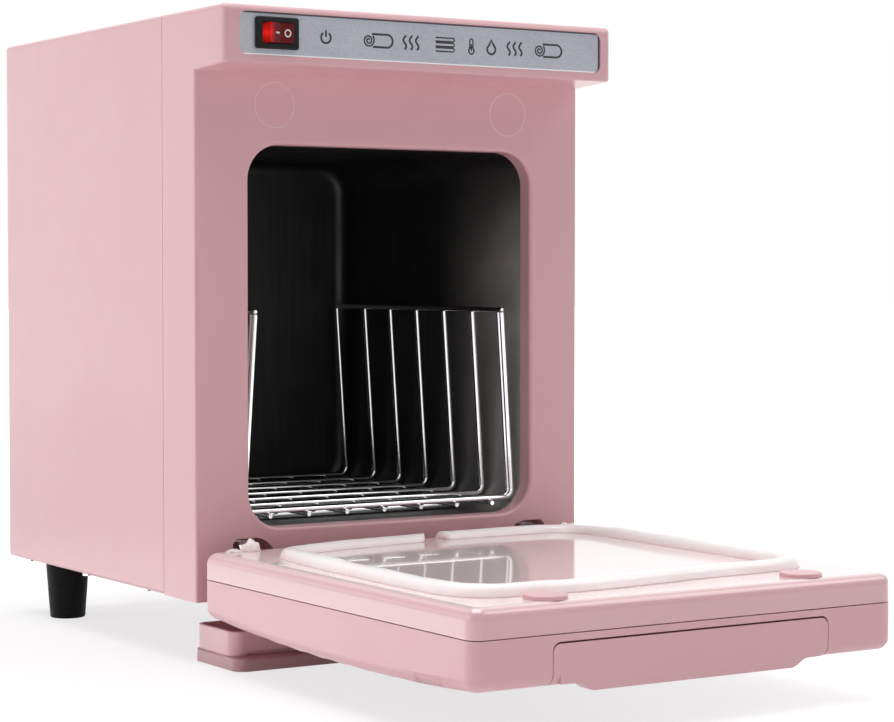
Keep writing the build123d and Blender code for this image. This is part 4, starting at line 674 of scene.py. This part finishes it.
def studio_floor():
    """Pale matt sweep. Seen or mirrored it glows, so shadows read softly near the cabinet and fade
    into white further out; mirrored at a low angle beside the cabinet it is brighter still."""
    s = Shader("floor")
    tree = s.tree
    cloud = s.spread(s.noise(3.0), 0.0, 1.0)
    s.color(s.mix(cloud, (0.90, 0.90, 0.90), (0.89, 0.89, 0.89)))
    s.rough(s.spread(s.noise(5.0), 0.75, 0.8))
    s.set(Specular_IOR_Level=0.0)
    matt = s.node("ShaderNodeBsdfDiffuse")
    s.link(s.mix(cloud, (FLOOR_SHADE,) * 3, (FLOOR_SHADE * 0.99,) * 3), matt.inputs["Color"])
    distance = s.node("ShaderNodeVectorMath", operation="LENGTH")
    s.link(s.coord, distance.inputs[0])
    lit = s.node("ShaderNodeEmission")
    lit.inputs["Color"].default_value = (0.985, 0.99, 1.0, 1.0)
    near = s.spread(s.axis("X"), FLOOR_GLOW, FLOOR_GLOW + 0.22, -0.20, 0.20)
    away = s.spread(distance.outputs["Value"], 0.0, 0.5, 0.35, 1.1)
    path = s.node("ShaderNodeLightPath")
    beside = s.spread(s.axis("X"), FLOOR_MIRROR, 0.0, -0.18, 0.0)
    left = s.math("MULTIPLY", path.outputs["Is Glossy Ray"], beside)
    nearby = s.math("MULTIPLY", left, s.spread(distance.outputs["Value"], 1.0, 0.0, 0.35, 0.8))
    slant = s.node("ShaderNodeSeparateXYZ")
    s.link(s.node("ShaderNodeNewGeometry").outputs["Incoming"], slant.inputs[0])
    mirrored = s.math("MULTIPLY", nearby, s.spread(slant.outputs["Z"], 1.0, 0.0, 0.22, 0.40))
    glow = s.math("ADD", s.math("ADD", near, away), mirrored)
    s.link(glow, lit.inputs["Strength"])
    both = s.node("ShaderNodeAddShader")
    s.link(matt.outputs[0], both.inputs[0])
    s.link(lit.outputs[0], both.inputs[1])
    choose = s.node("ShaderNodeMixShader")
    seen = s.math("MAXIMUM", path.outputs["Is Camera Ray"], path.outputs["Is Glossy Ray"])
    s.link(seen, choose.inputs[0])
    s.link(s.bsdf.outputs[0], choose.inputs[1])
    s.link(both.outputs[0], choose.inputs[2])
    s.link(choose.outputs[0], tree.nodes["Material Output"].inputs["Surface"])
    return s.mat


bm = bmesh.new()
bmesh.ops.create_grid(bm, x_segments=1, y_segments=1, size=FLOOR_REACH)
floor_mesh = bpy.data.meshes.new("floor")
bm.to_mesh(floor_mesh)
bm.free()
floor = bpy.data.objects.new("floor", floor_mesh)
floor.location = (0, 0, -FLOOR_GAP)
scene.collection.objects.link(floor)
floor_mesh.materials.append(studio_floor())

# the room is white where it is seen or mirrored, and gives a weak even light elsewhere
world = bpy.data.worlds.new("studio")
scene.world = world
world.use_nodes = True
tree = world.node_tree
backdrop = tree.nodes["Background"]
backdrop.inputs["Color"].default_value = (1.0, 1.0, 1.0, 1.0)
ambient = tree.nodes.new("ShaderNodeBackground")
ambient.inputs["Color"].default_value = (1.0, 0.985, 0.99, 1.0)
ambient.inputs["Strength"].default_value = 0.25
path = tree.nodes.new("ShaderNodeLightPath")
choose = tree.nodes.new("ShaderNodeMixShader")
seen = tree.nodes.new("ShaderNodeMath")
seen.operation = "MAXIMUM"
tree.links.new(path.outputs["Is Camera Ray"], seen.inputs[0])
tree.links.new(path.outputs["Is Glossy Ray"], seen.inputs[1])
tree.links.new(seen.outputs[0], choose.inputs[0])
tree.links.new(ambient.outputs[0], choose.inputs[1])
tree.links.new(backdrop.outputs[0], choose.inputs[2])
tree.links.new(choose.outputs[0], tree.nodes["World Output"].inputs["Surface"])


def area(name, place, target, size, power):
    """A rectangular soft light, aimed at target; metres and watts."""
    light = bpy.data.lights.new(name, "AREA")
    light.shape = "RECTANGLE"
    light.size, light.size_y = size
    light.energy = power
    obj = bpy.data.objects.new(name, light)
    obj.location = place
    obj.rotation_mode = "QUATERNION"
    obj.rotation_quaternion = (Vector(target) - Vector(place)).to_track_quat("-Z", "Y")
    scene.collection.objects.link(obj)


AIM_LOW = (0, 0, 0.1)
AIM_FACE = (0.05, 0, 0.15)
area("key", (-2.0, 0.5, 0.7), AIM_LOW, (1.4, 1.2), 8.3)
area("side_panel", (-1.4, 2.0, 0.36), AIM_LOW, (2.4, 0.7), 3.4)
area("top", (-0.2, 0.22, 4.54), AIM_LOW, (3.6, 3.6), 176.0)
area("fill", (1.7, -1.2, 2.0), AIM_FACE, (1.2, 1.2), 11.4)

CAMERA_PLACE = (-0.6936, -1.1478, 0.2077)
CAMERA_YAW = math.radians(32.38)
CAMERA_PITCH = math.radians(-2.06)
SENSOR, LENS = 36.0, 97.72
camera = bpy.data.cameras.new("camera")
camera.sensor_fit = "HORIZONTAL"
camera.sensor_width = SENSOR
camera.lens = LENS
camera.clip_start = 0.05
camera.clip_end = 60.0
cam = bpy.data.objects.new("camera", camera)
level = math.cos(CAMERA_PITCH)
look = Vector((math.sin(CAMERA_YAW) * level, math.cos(CAMERA_YAW) * level, math.sin(CAMERA_PITCH)))
cam.location = CAMERA_PLACE
cam.rotation_mode = "QUATERNION"
cam.rotation_quaternion = look.to_track_quat("-Z", "Y")
scene.collection.objects.link(cam)
scene.camera = cam
scene.view_settings.view_transform = "Standard"
scene.cycles.use_denoising = True
